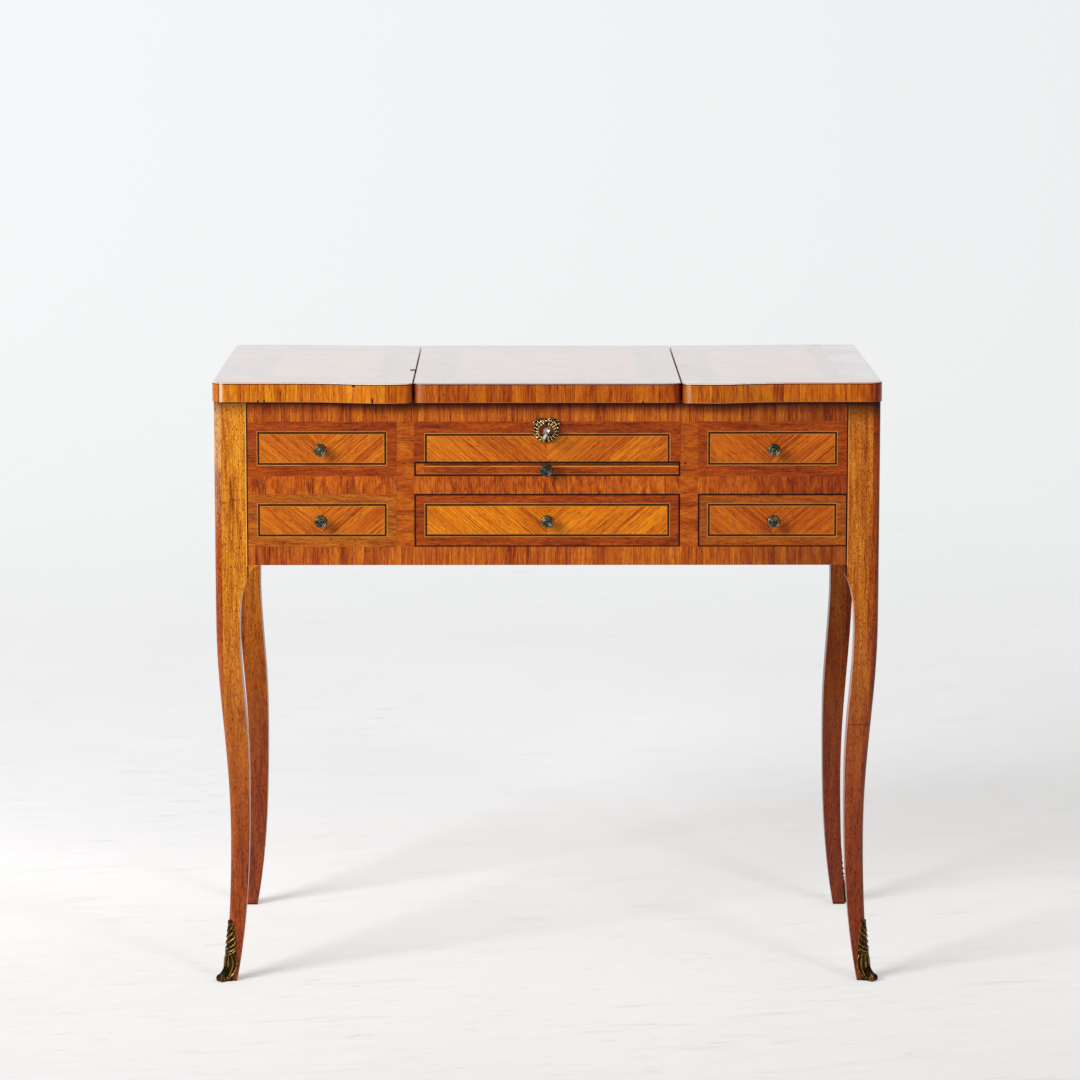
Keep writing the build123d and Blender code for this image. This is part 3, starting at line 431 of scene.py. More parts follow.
# ---- Inlaid fronts ----
# Each front is faced with a mahogany border, a light, dark and light string let in to it, and a
# field of two sheets of tulipwood whose grain falls towards a joint in the middle.
veneer_thickness = 0.35 * mm
front_face = -216 * mm
string_widths = (0.9 * mm, 2.5 * mm, 0.8 * mm)
border_tones = ("#641e05", "#8d3607", "#a84607", "#bc5a0c")
border_facts = {"streak": (14, 1.3), "figure": (70, 9), "pores": 0.6, "weights": (1.3, 0.9, 0),
                "pore": (4.5, 0.8)}
border_veneer = veneer("border_mahogany", border_tones, lengthwise, seams=leg_seam, **border_facts)
pale_border = veneer("pale_border_mahogany", ("#743005", "#a1500d", "#bb6414", "#cb741c"), lengthwise,
                     seams=leg_seam, darkening_and_shade=[("X", 0.15, 0.2, "#ecdce0")], **border_facts)
string_facts = {"grain": lengthwise, "streak": (30, 3), "figure": (60, 9), "pores": 0.2,
                "weights": (0.8, 0.6, 0)}
light_string = veneer("boxwood_string", ("#9a5214", "#c67c26", "#dc9c40"), **string_facts)
dark_string = veneer("ebonised_string", ("#1b0b03", "#351805", "#4e280b"), **string_facts)
# Painted shade: a near-black mahogany for the edges round the moving fronts, standing for the shadow in the
# gaps round them.
gap_shade_edge = veneer("gap_shade_edge_mahogany", ("#1c0b05", "#321509", "#46200f"), lengthwise, (20, 1.5),
                     (60, 8), weights=(1, 0.7, 0))
fall = 40                   # degrees that the grain of a field falls towards the middle
field_tones = ("#7c2704", "#b34f08", "#cd6a0d", "#dd8215")
bright_tones = ("#872f04", "#c35f04", "#dd7a06", "#ec9210")
fields = {}
for shade, tones in (("field", field_tones), ("bright_field", bright_tones)):
    for side, turn in (("left", fall), ("right", -fall)):
        fields[shade, side] = veneer(f"{shade}_{side}", tones, (0, turn, 0), (110, 0.95), (90, 16),
                                     pores=0.5, weights=(1.9, 0.8, 0), veins=0.9,
                                     nicks=[(-148.8, 670, 1.1, 2.2), (-147, 667, 0.8, 0.8)],
                                     darkening_and_shade=[("X", 0.15, 0.2, "#f4e8f2")])


def cut_across(cuts):
    """Cut the whole mesh in edit mode across X, and then across Y, at the given values."""
    for normal, values in zip(((1, 0, 0), (0, 1, 0)), cuts):
        for value in values:
            bpy.ops.mesh.select_all(action="SELECT")
            bpy.ops.mesh.bisect(plane_co=[value * part for part in normal], plane_no=normal)


def thicken(sheet, thickness):
    """Give a flat sheet its thickness."""
    solid = sheet.modifiers.new("thickness", "SOLIDIFY")
    solid.thickness = thickness
    solid.offset = 1
    bpy.ops.object.modifier_apply(modifier=solid.name)


def veneer_sheet(name, low, high, cuts, choose, materials, turn, place, body):
    """A thin sheet from low to high in its own plane, cut at (values of u, values of v). choose
    gives the number of the material at a middle (u, v). It is then turned and placed."""
    sheet = flat_sheet(name, low, high)
    bpy.ops.object.mode_set(mode="EDIT")
    cut_across(cuts)
    bpy.ops.object.mode_set(mode="OBJECT")
    for material in materials:
        sheet.data.materials.append(material)
    for polygon in sheet.data.polygons:
        polygon.material_index = choose(polygon.center.x, polygon.center.y)
    thicken(sheet, veneer_thickness)
    sheet.rotation_euler = [math.radians(a) for a in turn]
    sheet.location = place
    bpy.ops.object.transform_apply()
    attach(sheet, body)


def string_lines(low, high):
    """Where the sides of the three strings of a rectangle fall, along one axis."""
    lines = []
    for edge, inward in ((low, 1), (high, -1)):
        reach = 0
        for width in (0, *string_widths):
            reach += width
            lines.append(edge + inward * reach)
    return lines


def wood_at(u, v, low, high, middle):
    """0 in the border, 1 or 2 in a light or dark string, 3 or 4 in the two sheets of the field."""
    depth = min(u - low[0], high[0] - u, v - low[1], high[1] - v)
    reach = 0
    for wood, width in zip((0, 1, 2, 1), (0, *string_widths)):
        reach += width
        if depth <= reach:
            return wood
    return 3 if u < middle else 4


def rim_lines(low, high, rim):
    """Where a grimy rim along two facing edges ends."""
    return [low + rim, high - rim] if rim else []


def inlaid_front(name, x_span, z_span, string_x, string_z, body, shade="field", bands=(),
                 border=border_veneer, rim=0):
    """One front with its border, strings and field, crossbands at some (low, high), and a rim of
    painted shadow along the gap where the front moves."""
    (left, right), (bottom, top) = x_span, z_span
    middle = (string_x[0] + string_x[1]) / 2

    def choose(u, v):
        if min(u - left, right - u, v - bottom, top - v) < rim:
            return 6
        if any(low < v < high for low, high in bands):
            return 5
        return wood_at(u, v, *zip(string_x, string_z), middle)

    veneer_sheet(name, (left, bottom), (right, top),
                 ([*string_lines(*string_x), middle, *rim_lines(left, right, rim)],
                  [*string_lines(*string_z), *[edge for band in bands for edge in band],
                   *rim_lines(bottom, top, rim)]), choose,
                 [border, light_string, dark_string, fields[shade, "left"], fields[shade, "right"],
                  figured_band, gap_shade_edge], (90, 0, 0), (0, front_face, 0), body)


def span(low, high):
    """A pair of millimetres in metres."""
    return (low * mm, high * mm)


# The width of the rim of painted shadow along the gaps round the moving fronts.
gap_shadow_rim = 0.7 * mm
left_bay, left_inlay = span(-373, -187), span(-360, -198.5)
right_bay, right_inlay = span(187, 373), span(198.5, 360)
centre_inlay = span(-152.5, 152.5)
upper_bay, upper_inlay = span(643.2, 711.5), span(656.5, 699.5)
drawer_bay, lower_inlay = span(555.9, 619.7), span(567, 609.5)
inlaid_front("upper_left_front", left_bay, upper_bay, left_inlay, upper_inlay, "carcass")
inlaid_front("lower_left_front", left_bay, span(554.8, 643.2), left_inlay, lower_inlay, "carcass",
             bands=[span(621.2, 643.2)], border=pale_border)
inlaid_front("upper_right_front", right_bay, upper_bay, right_inlay, upper_inlay, "carcass")
inlaid_front("upper_centre_front", span(-165, 165), span(661.6, 711.5), centre_inlay,
             span(640, 697), "carcass")
inlaid_front("centre_drawer_face", span(-163.5, 163.5), drawer_bay, centre_inlay, lower_inlay,
             "centre_drawer", shade="bright_field", rim=gap_shadow_rim)
inlaid_front("right_drawer_face", span(188.5, 371.5), drawer_bay, right_inlay, lower_inlay,
             "right_drawer", border=pale_border, rim=gap_shadow_rim)

# The slide shows a mahogany strip with a golden line above it and a fine light arris below. A
# golden patch has been let in beside its left end.
slide_levels = [level * mm for level in (646.4, 654.6, 656.4, 658.0, 659.7)]
slide_woods = [light_string, border_veneer, light_string, dark_string, border_veneer,
               fields["field", "right"], gap_shade_edge]
(slide_left, slide_right), slide_foot = span(-163.4, 163.4), 645.2 * mm


def slide_wood(u, v):
    """Which of the slide's woods lies at a point of its face."""
    if min(u - slide_left, slide_right - u, v - slide_foot, slide_levels[-1] - v) < gap_shadow_rim:
        return 6
    if u < centre_inlay[0] and v > slide_levels[0]:
        return 5
    return next(k for k, level in enumerate(slide_levels) if v < level)


veneer_sheet("slide_face", (slide_left, slide_foot), (slide_right, slide_levels[-1]),
             ([centre_inlay[0], *rim_lines(slide_left, slide_right, gap_shadow_rim)],
              [*slide_levels[:-1], *rim_lines(slide_foot, slide_levels[-1], gap_shadow_rim)]),
             slide_wood, slide_woods, (90, 0, 0), (0, front_face, 0), "writing_slide")
finish(gap_shade_edge, "left_false_front", "right_false_front", "centre_false_front",
       "centre_drawer_front", "right_drawer_front", "slide_lipping")

# ---- Sides and back ----
# The side panels are framed like the fronts: a mahogany border, a light, dark and light string
# and a field of two tulipwood sheets. The back is a plain board with a thin rubbed polish.
side_wood = veneer("side_veneer", red_side, (0, 0, 90), (60, 1.6), (110, 12), weights=(1.1, 0.8, 0))
side_border = veneer("side_border_mahogany", border_tones, (0, 0, 90), **border_facts)
side_fields = [veneer(f"side_field_{side}", field_tones, (0, turn, 90), (80, 1.6), (130, 14), pores=0.5,
                      weights=(1.6, 1.2, 0), veins=0.5)
               for side, turn in (("front", fall), ("rear", -fall))]
side_inlay = (span(-153, 559), span(167, 711))  # outer corners of the strings, (y, z)
side_middle = 7 * mm
side_face = 412 * mm

for side, name in ((1, "right"), (-1, "left")):
    ends = sorted(side * y * mm for y in (-177, 191))
    inlay_ends = sorted(side * corner[0] for corner in side_inlay)
    veneer_sheet(
        f"{name}_side_veneer", (ends[0], 531.8 * mm), (ends[1], 735.4 * mm),
        ([*string_lines(*inlay_ends), side * side_middle],
         string_lines(*[corner[1] for corner in side_inlay])),
        lambda u, v: wood_at(side * u, v, *side_inlay, side_middle),
        [side_border, light_string, dark_string, *side_fields],
        (90, 0, side * 90), (side * side_face, 0, 0), "carcass")
finish(side_wood, "side_panel_left", "side_panel_right")
finish(veneer("back_wood", ("#4a2410", "#6d3a1a", "#86502a"), lengthwise, (80, 2.2), (150, 20),
              rubbed={"coat": 0.05, "rub": 0.55}, weights=(1.1, 0.8, 0)), "back_panel")

# ---- Inside boards ----
# The wells, the drawer boxes, the runners and the board of the slide are planed oak without a
# polish, pinned and glued together.
oak = veneer("planed_oak", ("#8a6338", "#b08550", "#c59c66", "#d3ae7a"), lengthwise, (60, 1.8),
             (140, 14), rubbed={"coat": 0.0, "rub": 0.6}, weights=(1.0, 0.8, 0))
finish(oak, "partition_left", "partition_right", "left_well_floor", "centre_well_floor",
       "right_well_floor", "slide_bearers", "slide_board", "drawer_runners", "drawer_guide",
       *[f"{side}_drawer_{part}" for side in ("centre", "right") for part in ("sides", "back", "bottom")])

# ---- Lids ----
# Each lid is one board with crossbanding glued round its edge, where the strips stand upright. Its
# underside is plain red mahogany.
lid_side, lid_joint = 0.415, 0.166
lid_wood = new_material("lid_wood")
edge_colour, edge_relief = grain_colour(
    lid_wood, ("#6e1d05", "#a84807", "#c9680a", "#db8010", "#e6950f"), upright, (30, 1.3), (50, 6),
    pores=0.45, strips=((1, 1, 0), 15), weights=(1.2, 0.9, 0.3), veins=0.45)
under_colour = grain_colour(lid_wood, ("#7a3a14", "#a05422", "#b96a30"), (0, 0, 90), (60, 1.6), (110, 12),
                            weights=(1.0, 0.8, 0))[0]
on_lid = axes(lid_wood)
lid_along = on_lid["X"]
# Along the top of the edge a painted highlight on the round arris, over a dark line in the polish; a light
# line runs along the lower edge.
edge_colour = marked(lid_wood, edge_colour, on_lid["Z"],
                     [(759.2, 761, "#f3e3cd"), (757.9, 759.2, "#4a1e0a"), (735.9, 736.7, "#b07a3c")])
# On the round left corner of the left lid, a dark veneer joint and beside it a painted highlight.
edge_colour = marked(lid_wood, edge_colour, lid_along, [(-407.2, -406.1, "#4a1e0a")])
edge_colour = painted_highlight(lid_wood, edge_colour, lid_along, -403.2, 3.3, 0.85, "#f0cda0")
edge_colour = nicked(lid_wood, edge_colour,
                     [(-215.8, 739, 1.1, 4.2), (-357.5, 736.5, 0.9, 3.0), (-350, 736.5, 0.8, 3.4),
                      (-239, 757, 2.0, 1.2), (-330, 747, 0.6, 5.0), (118, 736.6, 0.9, 2.4)])
past_left_lid, past_middle_lid = [
    add_node(lid_wood, "Math", {0: lid_along, 1: joint}, operation="GREATER_THAN")
    for joint in (-lid_joint, lid_joint)]


def lid_end(first, step, last_step):
    """X of one end of the lid that a point is on: of the left lid, and the steps to the next two."""
    place = add_node(lid_wood, "Math", {0: past_left_lid, 1: step, 2: first}, operation="MULTIPLY_ADD")
    return add_node(lid_wood, "Math", {0: past_middle_lid, 1: last_step, 2: place}, operation="MULTIPLY_ADD")


# A painted highlight lies beside the round corner on the left of the middle and right lids, with the very
# edge there darker. The left lid has its own painted highlight above. All three carry painted shade on
# their round right hand corners.
from_left = add_node(lid_wood, "Math", {0: lid_along, 1: lid_end(-1.0, 1 - lid_joint, 2 * lid_joint)},
                     operation="SUBTRACT")
edge_colour = darkened(lid_wood, edge_colour, from_left, 6 * mm, 1 * mm, "#8c6a50")
edge_colour = painted_highlight(lid_wood, edge_colour, from_left, 9, 5, 0.4, "#e6b586")
to_right = add_node(lid_wood, "Math",
                    {0: lid_end(-lid_joint, 2 * lid_joint, lid_side - lid_joint), 1: lid_along},
                    operation="SUBTRACT")
edge_colour = darkened(lid_wood, edge_colour, to_right, 24 * mm, 1 * mm, "#c48a6c")
middle_lid = add_node(lid_wood, "Math", {0: lid_along, 1: 0.0, 2: lid_joint - 0.2 * mm}, operation="COMPARE")
edge_colour = add_node(lid_wood, "MixRGB", {"Fac": middle_lid, "Color1": edge_colour,
                                            "Color2": "#e6cfe0"}, blend_type="MULTIPLY")
edge_colour = darkened(lid_wood, edge_colour, lid_along, lid_joint, 0.3, "#f0e2ee")
facing = add_node(lid_wood, "SeparateXYZ", {0: add_node(lid_wood, "TexCoord").outputs["Normal"]})
beneath = add_node(lid_wood, "Math", {0: facing.outputs["Z"], 1: -0.7}, operation="LESS_THAN")
lid_colour = add_node(lid_wood, "MixRGB", {"Fac": beneath, "Color1": edge_colour, "Color2": under_colour})
polish(lid_wood, lid_colour, edge_relief, coat=0.45, rub=0.26)
finish(lid_wood, "left_lid", "centre_lid", "right_lid")

# ---- Veneer of the lid tops ----
# Crossbands run round each lid, then a mahogany band between two fine strings, then a field of
# four book-matched sheets. The polish on them is the thickest and flattest of the whole table.
across_y = (0, 0, 90)
top_field_tones = ("#8c3608", "#c2600f", "#da7c18", "#ec9626")


def flatted(film):
    """The flat thick polish of a lid top. Each wood under it has taken it up a little differently."""
    return {"coat": 1.0, "rub": 0.16, "film": film, "gloss": 1.0}


top_bands = {}
for kind, grain, direction in (("ends", lengthwise, (0, 1, 0)), ("sides", across_y, (1, 0, 0))):
    top_bands[kind] = veneer(f"top_crossband_{kind}", band_tones, grain, (30, 1.4), (60, 7),
                             strips=(direction, 34), weights=(1.0, 0.6, 0.4), rubbed=flatted(1.96))
top_bands["inner"] = veneer("top_inner_band", ("#6b2b10", "#8f431a", "#a85325", "#ba6730"), lengthwise,
                            (20, 1.4), (70, 9), weights=(1.0, 0.7, 0), rubbed=flatted(2.1))
top_bands["string"] = veneer("top_boxwood_string", ("#a8672a", "#cc8a42", "#dba25a"),
                             rubbed=flatted(1.8), **string_facts)
for kind, turn in (("rising", 45), ("falling", -45)):
    top_bands[kind] = veneer(f"top_field_{kind}", top_field_tones, (0, 0, turn), (80, 1.6), (130, 12),
                             weights=(1.3, 0.8, 0), veins=0.4, rubbed=flatted(2.06))
top_string = 1.2 * mm


def lid_top(lid, low, high):
    """Veneer on the flat top of a lid. low and high are, outwards in, the (x, y) corners of the
    inner side of the crossband and of the inner side of the mahogany band."""
    top = new_object(f"{lid}_veneer", nodes[lid].data.copy())
    only(top)
    for polygon in top.data.polygons:
        polygon.select = polygon.normal.z < 0.99 or polygon.center.z < 0.7595
    bpy.ops.object.mode_set(mode="EDIT")
    bpy.ops.mesh.select_mode(type="FACE")
    bpy.ops.mesh.delete(type="FACE")
    bpy.ops.mesh.select_all(action="SELECT")
    bpy.ops.mesh.remove_doubles(threshold=1e-5)
    bpy.ops.mesh.dissolve_limited(angle_limit=0.01)
    bpy.ops.mesh.faces_shade_flat()
    middle = [(low[1][axis] + high[1][axis]) / 2 for axis in (0, 1)]
    cut_across([[middle[axis], *[line for ring in (0, 1) for line in
                                 (low[ring][axis], low[ring][axis] + top_string,
                                  high[ring][axis], high[ring][axis] - top_string)]]
                for axis in (0, 1)])
    bpy.ops.object.mode_set(mode="OBJECT")
    top.data.materials.clear()
    for material in top_bands.values():
        top.data.materials.append(material)
    for polygon in top.data.polygons:
        x, y = polygon.center.x, polygon.center.y
        depth = [min(x - low[ring][0], high[ring][0] - x, y - low[ring][1], high[ring][1] - y)
                 for ring in (0, 1)]
        if depth[0] < 0:
            kind = "ends" if low[0][1] < y < high[0][1] else "sides"
        elif depth[0] < top_string or 0 < depth[1] < top_string:
            kind = "string"
        elif depth[1] < 0:
            kind = "inner"
        else:
            kind = "rising" if (x - middle[0]) * (y - middle[1]) > 0 else "falling"
        polygon.material_index = list(top_bands).index(kind)
    thicken(top, 0.3 * mm)
    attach(top, lid)


for lid, low, high in (("left_lid", ((-370, -183), (-346, -159)), ((-187, 193), (-211, 169))),
                       ("centre_lid", ((-140, -203), (-114, -177)), ((140, 213), (114, 187))),
                       ("right_lid", ((187, -183), (211, -159)), ((370, 193), (346, 169)))):
    lid_top(lid, [span(*corner) for corner in low], [span(*corner) for corner in high])

# ---- Metal ----
# The knobs are turned brass gone brown, the mounts cast bronze with worn gilding, the hinges rolled
# brass, and the screws, the pins, the lock and its key steel.


def metal(name, dark, light, roughness, scale=180.0):
    """Cast or rolled metal with a patina that lies unevenly over it."""
    made = new_material(name)
    place = add_node(made, "TexCoord").outputs["Object"]
    cloud = add_node(made, "TexNoise", {"Vector": place, "Scale": scale, "Detail": 6.0, "Roughness": 0.65})
    colour = add_node(made, "ValToRGB", {"Fac": cloud}, stops=[(0.35, dark), (0.62, light)])
    rough = add_node(made, "MapRange", {"Value": cloud, "From Min": 0.3, "From Max": 0.7,
                                        "To Min": roughness + 0.12, "To Max": roughness - 0.06})
    bump = add_node(made, "Bump", {"Height": cloud, "Strength": 0.15, "Distance": 0.2 * mm})
    output(made, "BsdfPrincipled", {"Base Color": colour, "Metallic": 1.0, "Roughness": rough,
                                    "Normal": bump})
    return made


finish(metal("patinated_brass", "#191811", "#56523f", 0.42),
       "false_front_knobs", "centre_drawer_knob", "right_drawer_knob", "slide_knob")
finish(metal("worn_gilt_bronze", "#150e05", "#4d3814", 0.42, 260.0), "escutcheon", "sabots")
hinged = ("carcass", "left_lid", "centre_lid", "right_lid")
finish(metal("rolled_brass", "#8a6a34", "#c9a45c", 0.35),
       *[f"{part}_hinge_leaves" for part in hinged], "left_lid_stud", "lock_strike")
finish(metal("bright_steel", "#a09d96", "#dedbd2", 0.34),
       *[f"{part}_hinge_screws" for part in hinged], "hinge_pins", "lock_case", "lock_bolt")
finish(metal("polished_key_steel", "#c2c0ba", "#f4f2ec", 0.3), "key")

# ---- Leaves and flutes of the sabots ----
# Each cast shoe is a dark shell with chased relief: a twisted leaf up the corner, a ring, and
# flutes that run down to a scrolled toe. The high parts keep their gilding.
leg_insets = ((0, 6.0), (20, 7.7), (39, 9.2), (58, 10.6), (78, 11.8))
shell_lift = 1.7
foot_corner = 7 + shell_lift


def between(table, value):
    """The entry for a value in a table of (value, entry) pairs."""
    for (low, first), (high, last) in zip(table, table[1:]):
        if value <= high:
            break
    return first + (last - first) * (value - low) / (high - low)


def at(x, y, z):
    """A point given in mm."""
    return Vector((x * mm, y * mm, z * mm))


def on_foot(across, level, lift):
    """A point on the left front shoe: mm round the corner from its middle, height and lift."""
    inset = between(leg_insets, level) - shell_lift
    quarter = math.pi * foot_corner / 4
    straight = max(abs(across) - quarter, 0)
    angle = math.radians(225) + math.copysign(min(abs(across), quarter) / foot_corner, across)
    out = (math.cos(angle), math.sin(angle))
    along = (-out[1] * math.copysign(1, across), out[0] * math.copysign(1, across))
    return at(*[corner + inset + foot_corner + (foot_corner + lift) * out[axis] + straight * along[axis]
                for axis, corner in enumerate((-413, -217))], level)


def rib(name, points, radii, closed=False, sides=2):
    """A chased rib: a smooth round bar through the points, with its own radius at each, in mm."""
    only()
    curve = bpy.data.curves.new(name, "CURVE")
    curve.dimensions = "3D"
    curve.bevel_depth = mm
    curve.bevel_resolution = sides
    curve.resolution_u = 3
    curve.use_fill_caps = True
    line = curve.splines.new("BEZIER")
    line.bezier_points.add(len(points) - 1)
    line.use_cyclic_u = closed
    for knot, point, radius in zip(line.bezier_points, points, radii):
        knot.co = point
        knot.radius = radius
        knot.handle_left_type = knot.handle_right_type = "AUTO"
    only(new_object(name, curve))
    bpy.ops.object.convert(target="MESH")
    bpy.ops.object.shade_smooth()
    return bpy.context.object


def joined(name, pieces, material, body):
    """Several chased parts as one casting."""
    only(pieces[0])
    for piece in pieces:
        piece.select_set(True)
    bpy.ops.object.join()
    made = bpy.context.object
    made.name = name
    made.data.materials.clear()
    made.data.materials.append(material)
    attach(made, body)
    return made


leaf_paths = []
for level, reach, radius in ((40, 9.6, 1.5), (47.5, 8.2, 1.5), (55, 6.8, 1.4), (62, 5.0, 1.3)):
    leaf_paths.append((
        [(-reach, level + 3, 0), (-reach * 0.45, level, 0.5), (reach * 0.35, level + 3, 0.7),
         (reach, level + 9, 0.3), (reach * 0.8, level + 11.5, 0.2)],
        [0.4, radius, radius, radius * 0.7, 0.3]))
leaf_paths.append(([(-3.4, 66, 0), (-1.2, 70, 0.3), (0.6, 75, 0.3), (0.2, 79, 0)], [0.9, 1.2, 0.9, 0.2]))
for level, radius in ((33.5, 0.8), (37, 1.2)):
    leaf_paths.append((
        [(-11.5, level + 1, 0), (-6.5, level - 1.5, 0.3), (0, level - 0.5, 0.7), (6.5, level + 2, 0.4),
         (11, level + 6, 0)],
        [radius * 0.6, radius, radius, radius, radius * 0.6]))
for start, radius in ((-11, 1.0), (-6.8, 1.3), (-2.3, 1.3), (2.3, 1.3), (6.8, 1.3), (11, 1.0)):
    leaf_paths.append((
        [(start * 0.9, 33, 0), (start * 1.2, 25, 0.6), (start * 1.15, 16, 0.6), (start * 0.8, 8, 1.4),
         (start * 0.45, 3.5, 2.8)],
        [radius * 0.7, radius, radius, radius * 0.9, radius * 0.6]))
leaf_parts = [rib("foot_rib", [on_foot(*point) for point in path], radii) for path, radii in leaf_paths]
toe = Vector((-405 - 9 / math.sqrt(2), -209 - 9 / math.sqrt(2), 4.6))
toe_out = Vector((-1, -1, 0)).normalized()
toe_side = Vector((1, -1, 0)).normalized()
for side in (-1, 1):
    coil = []
    for step in range(9):
        angle = math.radians(100 - 60 * step)
        reach = 4.2 - 0.42 * step
        coil.append((toe + toe_side * side * (3.6 + 0.12 * step)
                     + toe_out * reach * math.cos(angle) + Vector((0, 0, reach * math.sin(angle)))) * mm)
    leaf_parts.append(rib("toe_coil", coil, [0.9, 0.9, 0.85, 0.8, 0.75, 0.7, 0.7, 0.7, 0.8]))
middle_y = 7 * mm           # half way between the front and the rear feet
foot_relief = joined("sabot_relief", leaf_parts, metal("rubbed_gilding", "#1a1006", "#b08a4c", 0.3, 300.0),
                     "carcass")
for name, flip_x, flip_y in (("right", -1, 1), ("rear_left", 1, -1), ("rear_right", -1, -1)):
    copy = new_object(f"sabot_relief_{name}", foot_relief.data.copy())
    only(copy)
    copy.scale = (flip_x, flip_y, 1)
    copy.location = (0, middle_y - flip_y * middle_y, 0)
    bpy.ops.object.transform_apply()
    bpy.ops.object.mode_set(mode="EDIT")
    bpy.ops.mesh.select_all(action="SELECT")
    bpy.ops.mesh.normals_make_consistent(inside=False)
    bpy.ops.object.mode_set(mode="OBJECT")
    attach(copy, "carcass")

# ---- Wreath of the escutcheon ----
# Three rows of small laurel leaves are cast along the oval plate of gilt bronze, with a ribbon tied
# in a bow on top. Their high parts are burnished.
wreath_x, wreath_front, wreath_z = -1, -219.4, 700.3
wreath_reach = (13.2, 11.5)
bow_level = 712
leaf_count = 9
leaf_turn = 0.30            # radians of the oval that a leaf takes up
bow_tilt = math.radians(-18)
leaves = []


def wreath_point(angle, out, forward):
    """A point mm out from the middle line of the oval, and forward of the plate."""
    return at(wreath_x + (wreath_reach[0] + out) * math.sin(angle), wreath_front - forward,
              wreath_z + (wreath_reach[1] + out) * math.cos(angle))


def ribbon(name, side, path, radii, **form):
    """A length of ribbon on one side of the oval, through (x from its middle, forward, z) in mm."""
    leaves.append(rib(name, [at(wreath_x + side * x, wreath_front - forward, z)
                             for x, forward, z in path], radii, **form))


for side in (-1, 1):
    for index in range(leaf_count):
        angle = math.pi - (index + 0.2) * math.pi / (leaf_count + 0.6)
        for row, lean in ((1.3, 1), (-1.1, -1), (-2.6, -1)):
            leaves.append(rib("leaf", [wreath_point(side * angle, row * 0.3, 0.2),
                                       wreath_point(side * (angle - leaf_turn * 0.5), row, 1.1),
                                       wreath_point(side * (angle - leaf_turn), row + lean * 1.5, 0.7)],
                              [0.3, 1.3, 0.15], sides=1))
for side in (-1, 1):
    loop = []
    for step in range(10):
        angle = math.radians(36 * step)
        across, up = 6.9 * math.cos(angle), 2.6 * math.sin(angle)
        loop.append((9.5 + across * math.cos(bow_tilt) - up * math.sin(bow_tilt),
                     0.6 * math.cos(angle) - 0.1,
                     bow_level + across * math.sin(bow_tilt) + up * math.cos(bow_tilt)))
    ribbon("ribbon_loop", side, loop, [0.75, 0.5] * 5, closed=True, sides=1)
    ribbon("ribbon_tail", side, ((1.5, 0.8, 712.5), (6, 1.2, 712.4), (10.5, 0.8, 709.8), (16.4, 0.2, 709.0)),
           [0.9, 0.8, 0.7, 0.9], sides=1)
    for fold in range(3):
        near, down = 1.6 + 3.6 * fold, 0.8 * fold
        ribbon("ribbon_fold", side, ((near, 0.4, 715.2 - down), (near + 1.2, 1.3, 713.4 - down),
                                     (near + 3.2, 0.6, 711.2 - 0.9 * fold)), [0.4, 0.9, 0.4], sides=1)
ribbon("ribbon_knot", 1, ((-1.6, 1, 712.4), (0, 1.4, 712.8), (1.6, 1, 712.4)), [1.2, 1.7, 1.2])
joined("escutcheon_wreath", leaves, metal("burnished_gilding", "#100a04", "#f6d9a0", 0.22, 420.0),
       "carcass")

# ---- Turned rings of the knobs ----
# The face of each brass knob is turned in steps: a rim, a hollow with two fine rings, and a centre
# bead. Hands have rubbed their edges brighter than the rest.
knob_edge = metal("rubbed_knob_edges", "#443d31", "#b3a68a", 0.36, 130.0)


def knob_rings(name, centres, body, wear):
    """Rings and a bead on the faces of some knobs, whose middles are at (x, z) in mm."""
    rings = []
    for x, z in centres:
        for reach, thick, forward in ((6.6, 0.8, -0.2), (4.7, 0.6, 0.0), (2.9, 0.6, 0.2)):
            ring = [at(x + reach * math.cos(math.radians(30 * k)), knob_front - forward,
                       z + reach * math.sin(math.radians(30 * k))) for k in range(12)]
            rings.append(rib("knob_ring", ring, [thick] * 12, closed=True, sides=1))
        rings.append(rib("knob_bead", [at(x, knob_front - forward, z) for forward in (-1, 0.2, 0.9)],
                         [1.6, 1.3, 0.2]))
    joined(name, rings, wear, body)


knob_front = -216 - 15.6
knob_x, upper_knob, lower_knob = 280.5, 677.2, 587.9
knob_rings("false_front_knob_rings", [(-knob_x, upper_knob), (-knob_x, lower_knob), (knob_x, upper_knob)],
           "carcass", knob_edge)
knob_rings("centre_drawer_knob_rings", [(0, lower_knob)], "centre_drawer", knob_edge)
knob_rings("right_drawer_knob_rings", [(knob_x, lower_knob)], "right_drawer", knob_edge)
knob_rings("slide_knob_rings", [(-1, 652.2)], "writing_slide",
           metal("dull_knob_edges", "#32322f", "#7d7d7c", 0.38, 260.0))

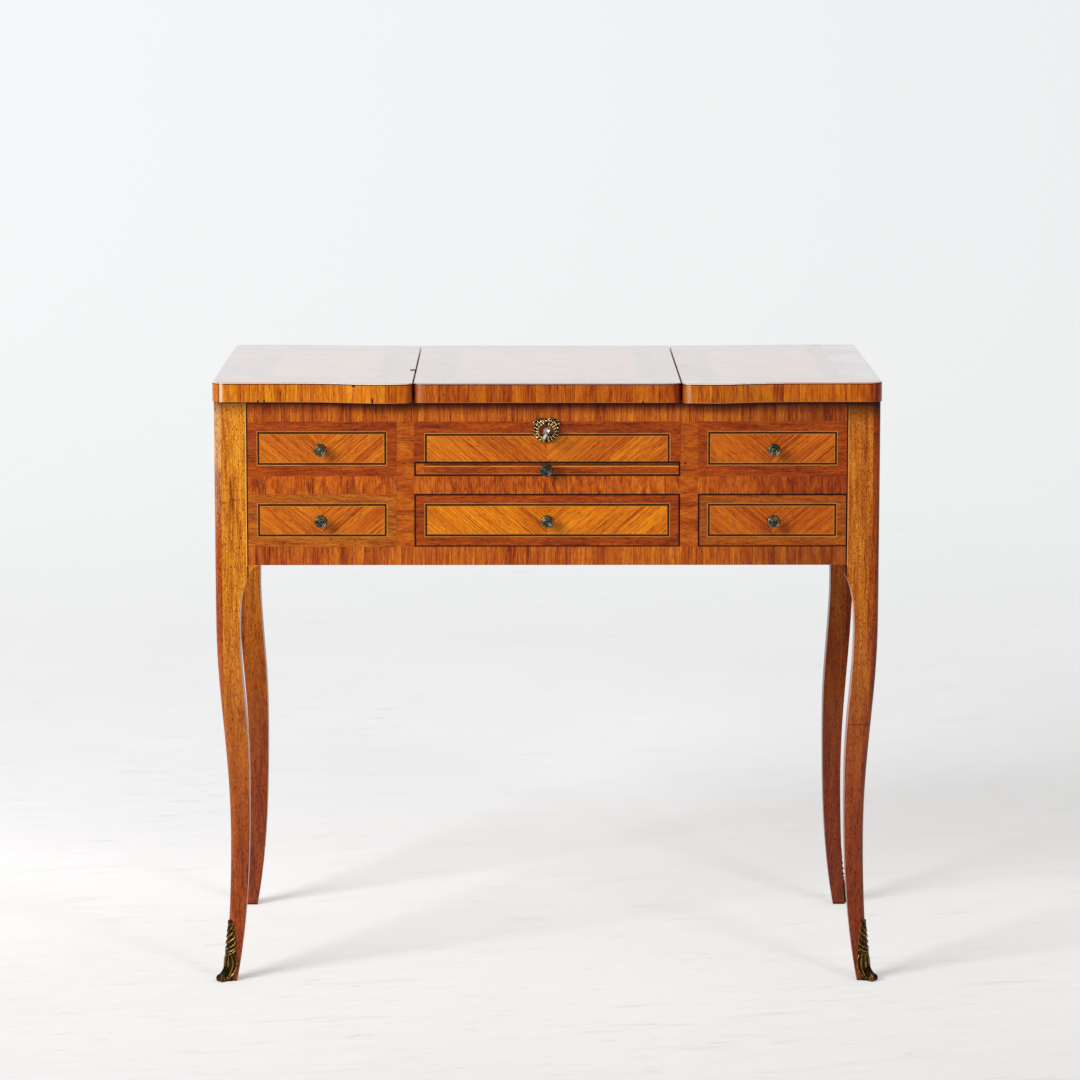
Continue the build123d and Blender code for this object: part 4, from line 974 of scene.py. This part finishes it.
# ---- Mirror and its frame ----
# Old plate glass with a tin and mercury back, a little clouded at its edges, in a moulded
# mahogany frame that is pinned under the middle lid.
silvered = new_material("old_mirror_plate")
place = add_node(silvered, "TexCoord").outputs["Object"]
foxing = add_node(silvered, "TexNoise", {"Vector": place, "Scale": 38.0, "Detail": 6.0, "Roughness": 0.7})
tarnish = add_node(silvered, "ValToRGB", {"Fac": foxing},
                   stops=[(0.30, "#6f6a5c"), (0.38, "#c4c6c2"), (0.6, "#d9dcdb")])
cloud = add_node(silvered, "MapRange", {"Value": foxing, "From Min": 0.3, "From Max": 0.42,
                                        "To Min": 0.3, "To Max": 0.03})
output(silvered, "BsdfPrincipled", {"Base Color": tarnish, "Metallic": 1.0, "Roughness": cloud,
                                    "Coat Weight": 0.5})
finish(silvered, "mirror_glass")
finish(veneer("mirror_frame_mahogany", ("#4c1f0c", "#6f3216", "#8c4522"), lengthwise, (30, 1.5), (70, 9),
              weights=(1, 0.7, 0)), "mirror_frame")

# ---- Leather of the slide ----
# Thin hide, glued into the sunk bed of the slide. It is waxed, and has worn paler where hands and
# writing things rest.
hide = new_material("tooled_leather")
place = add_node(hide, "TexCoord").outputs["Object"]
pebble = add_node(hide, "TexVoronoi", {"Vector": place, "Scale": 900.0}, feature="DISTANCE_TO_EDGE")
crease = add_node(hide, "TexNoise", {"Vector": place, "Scale": 60.0, "Detail": 6.0, "Roughness": 0.65})
worn = add_node(hide, "TexNoise", {"Vector": place, "Scale": 9.0, "Detail": 3.0})
hide_colour = add_node(hide, "ValToRGB", {"Fac": worn},
                       stops=[(0.35, "#4d2a18"), (0.5, "#6b3c22"), (0.68, "#865334")])
hide_bump = add_node(hide, "Bump", {"Height": pebble.outputs["Distance"], "Strength": 0.25,
                                    "Distance": 0.2 * mm})
hide_bump = add_node(hide, "Bump", {"Height": crease, "Strength": 0.2, "Distance": 0.6 * mm,
                                    "Normal": hide_bump})
output(hide, "BsdfPrincipled", {"Base Color": hide_colour, "Roughness": 0.5, "Normal": hide_bump})
finish(hide, "slide_leather")
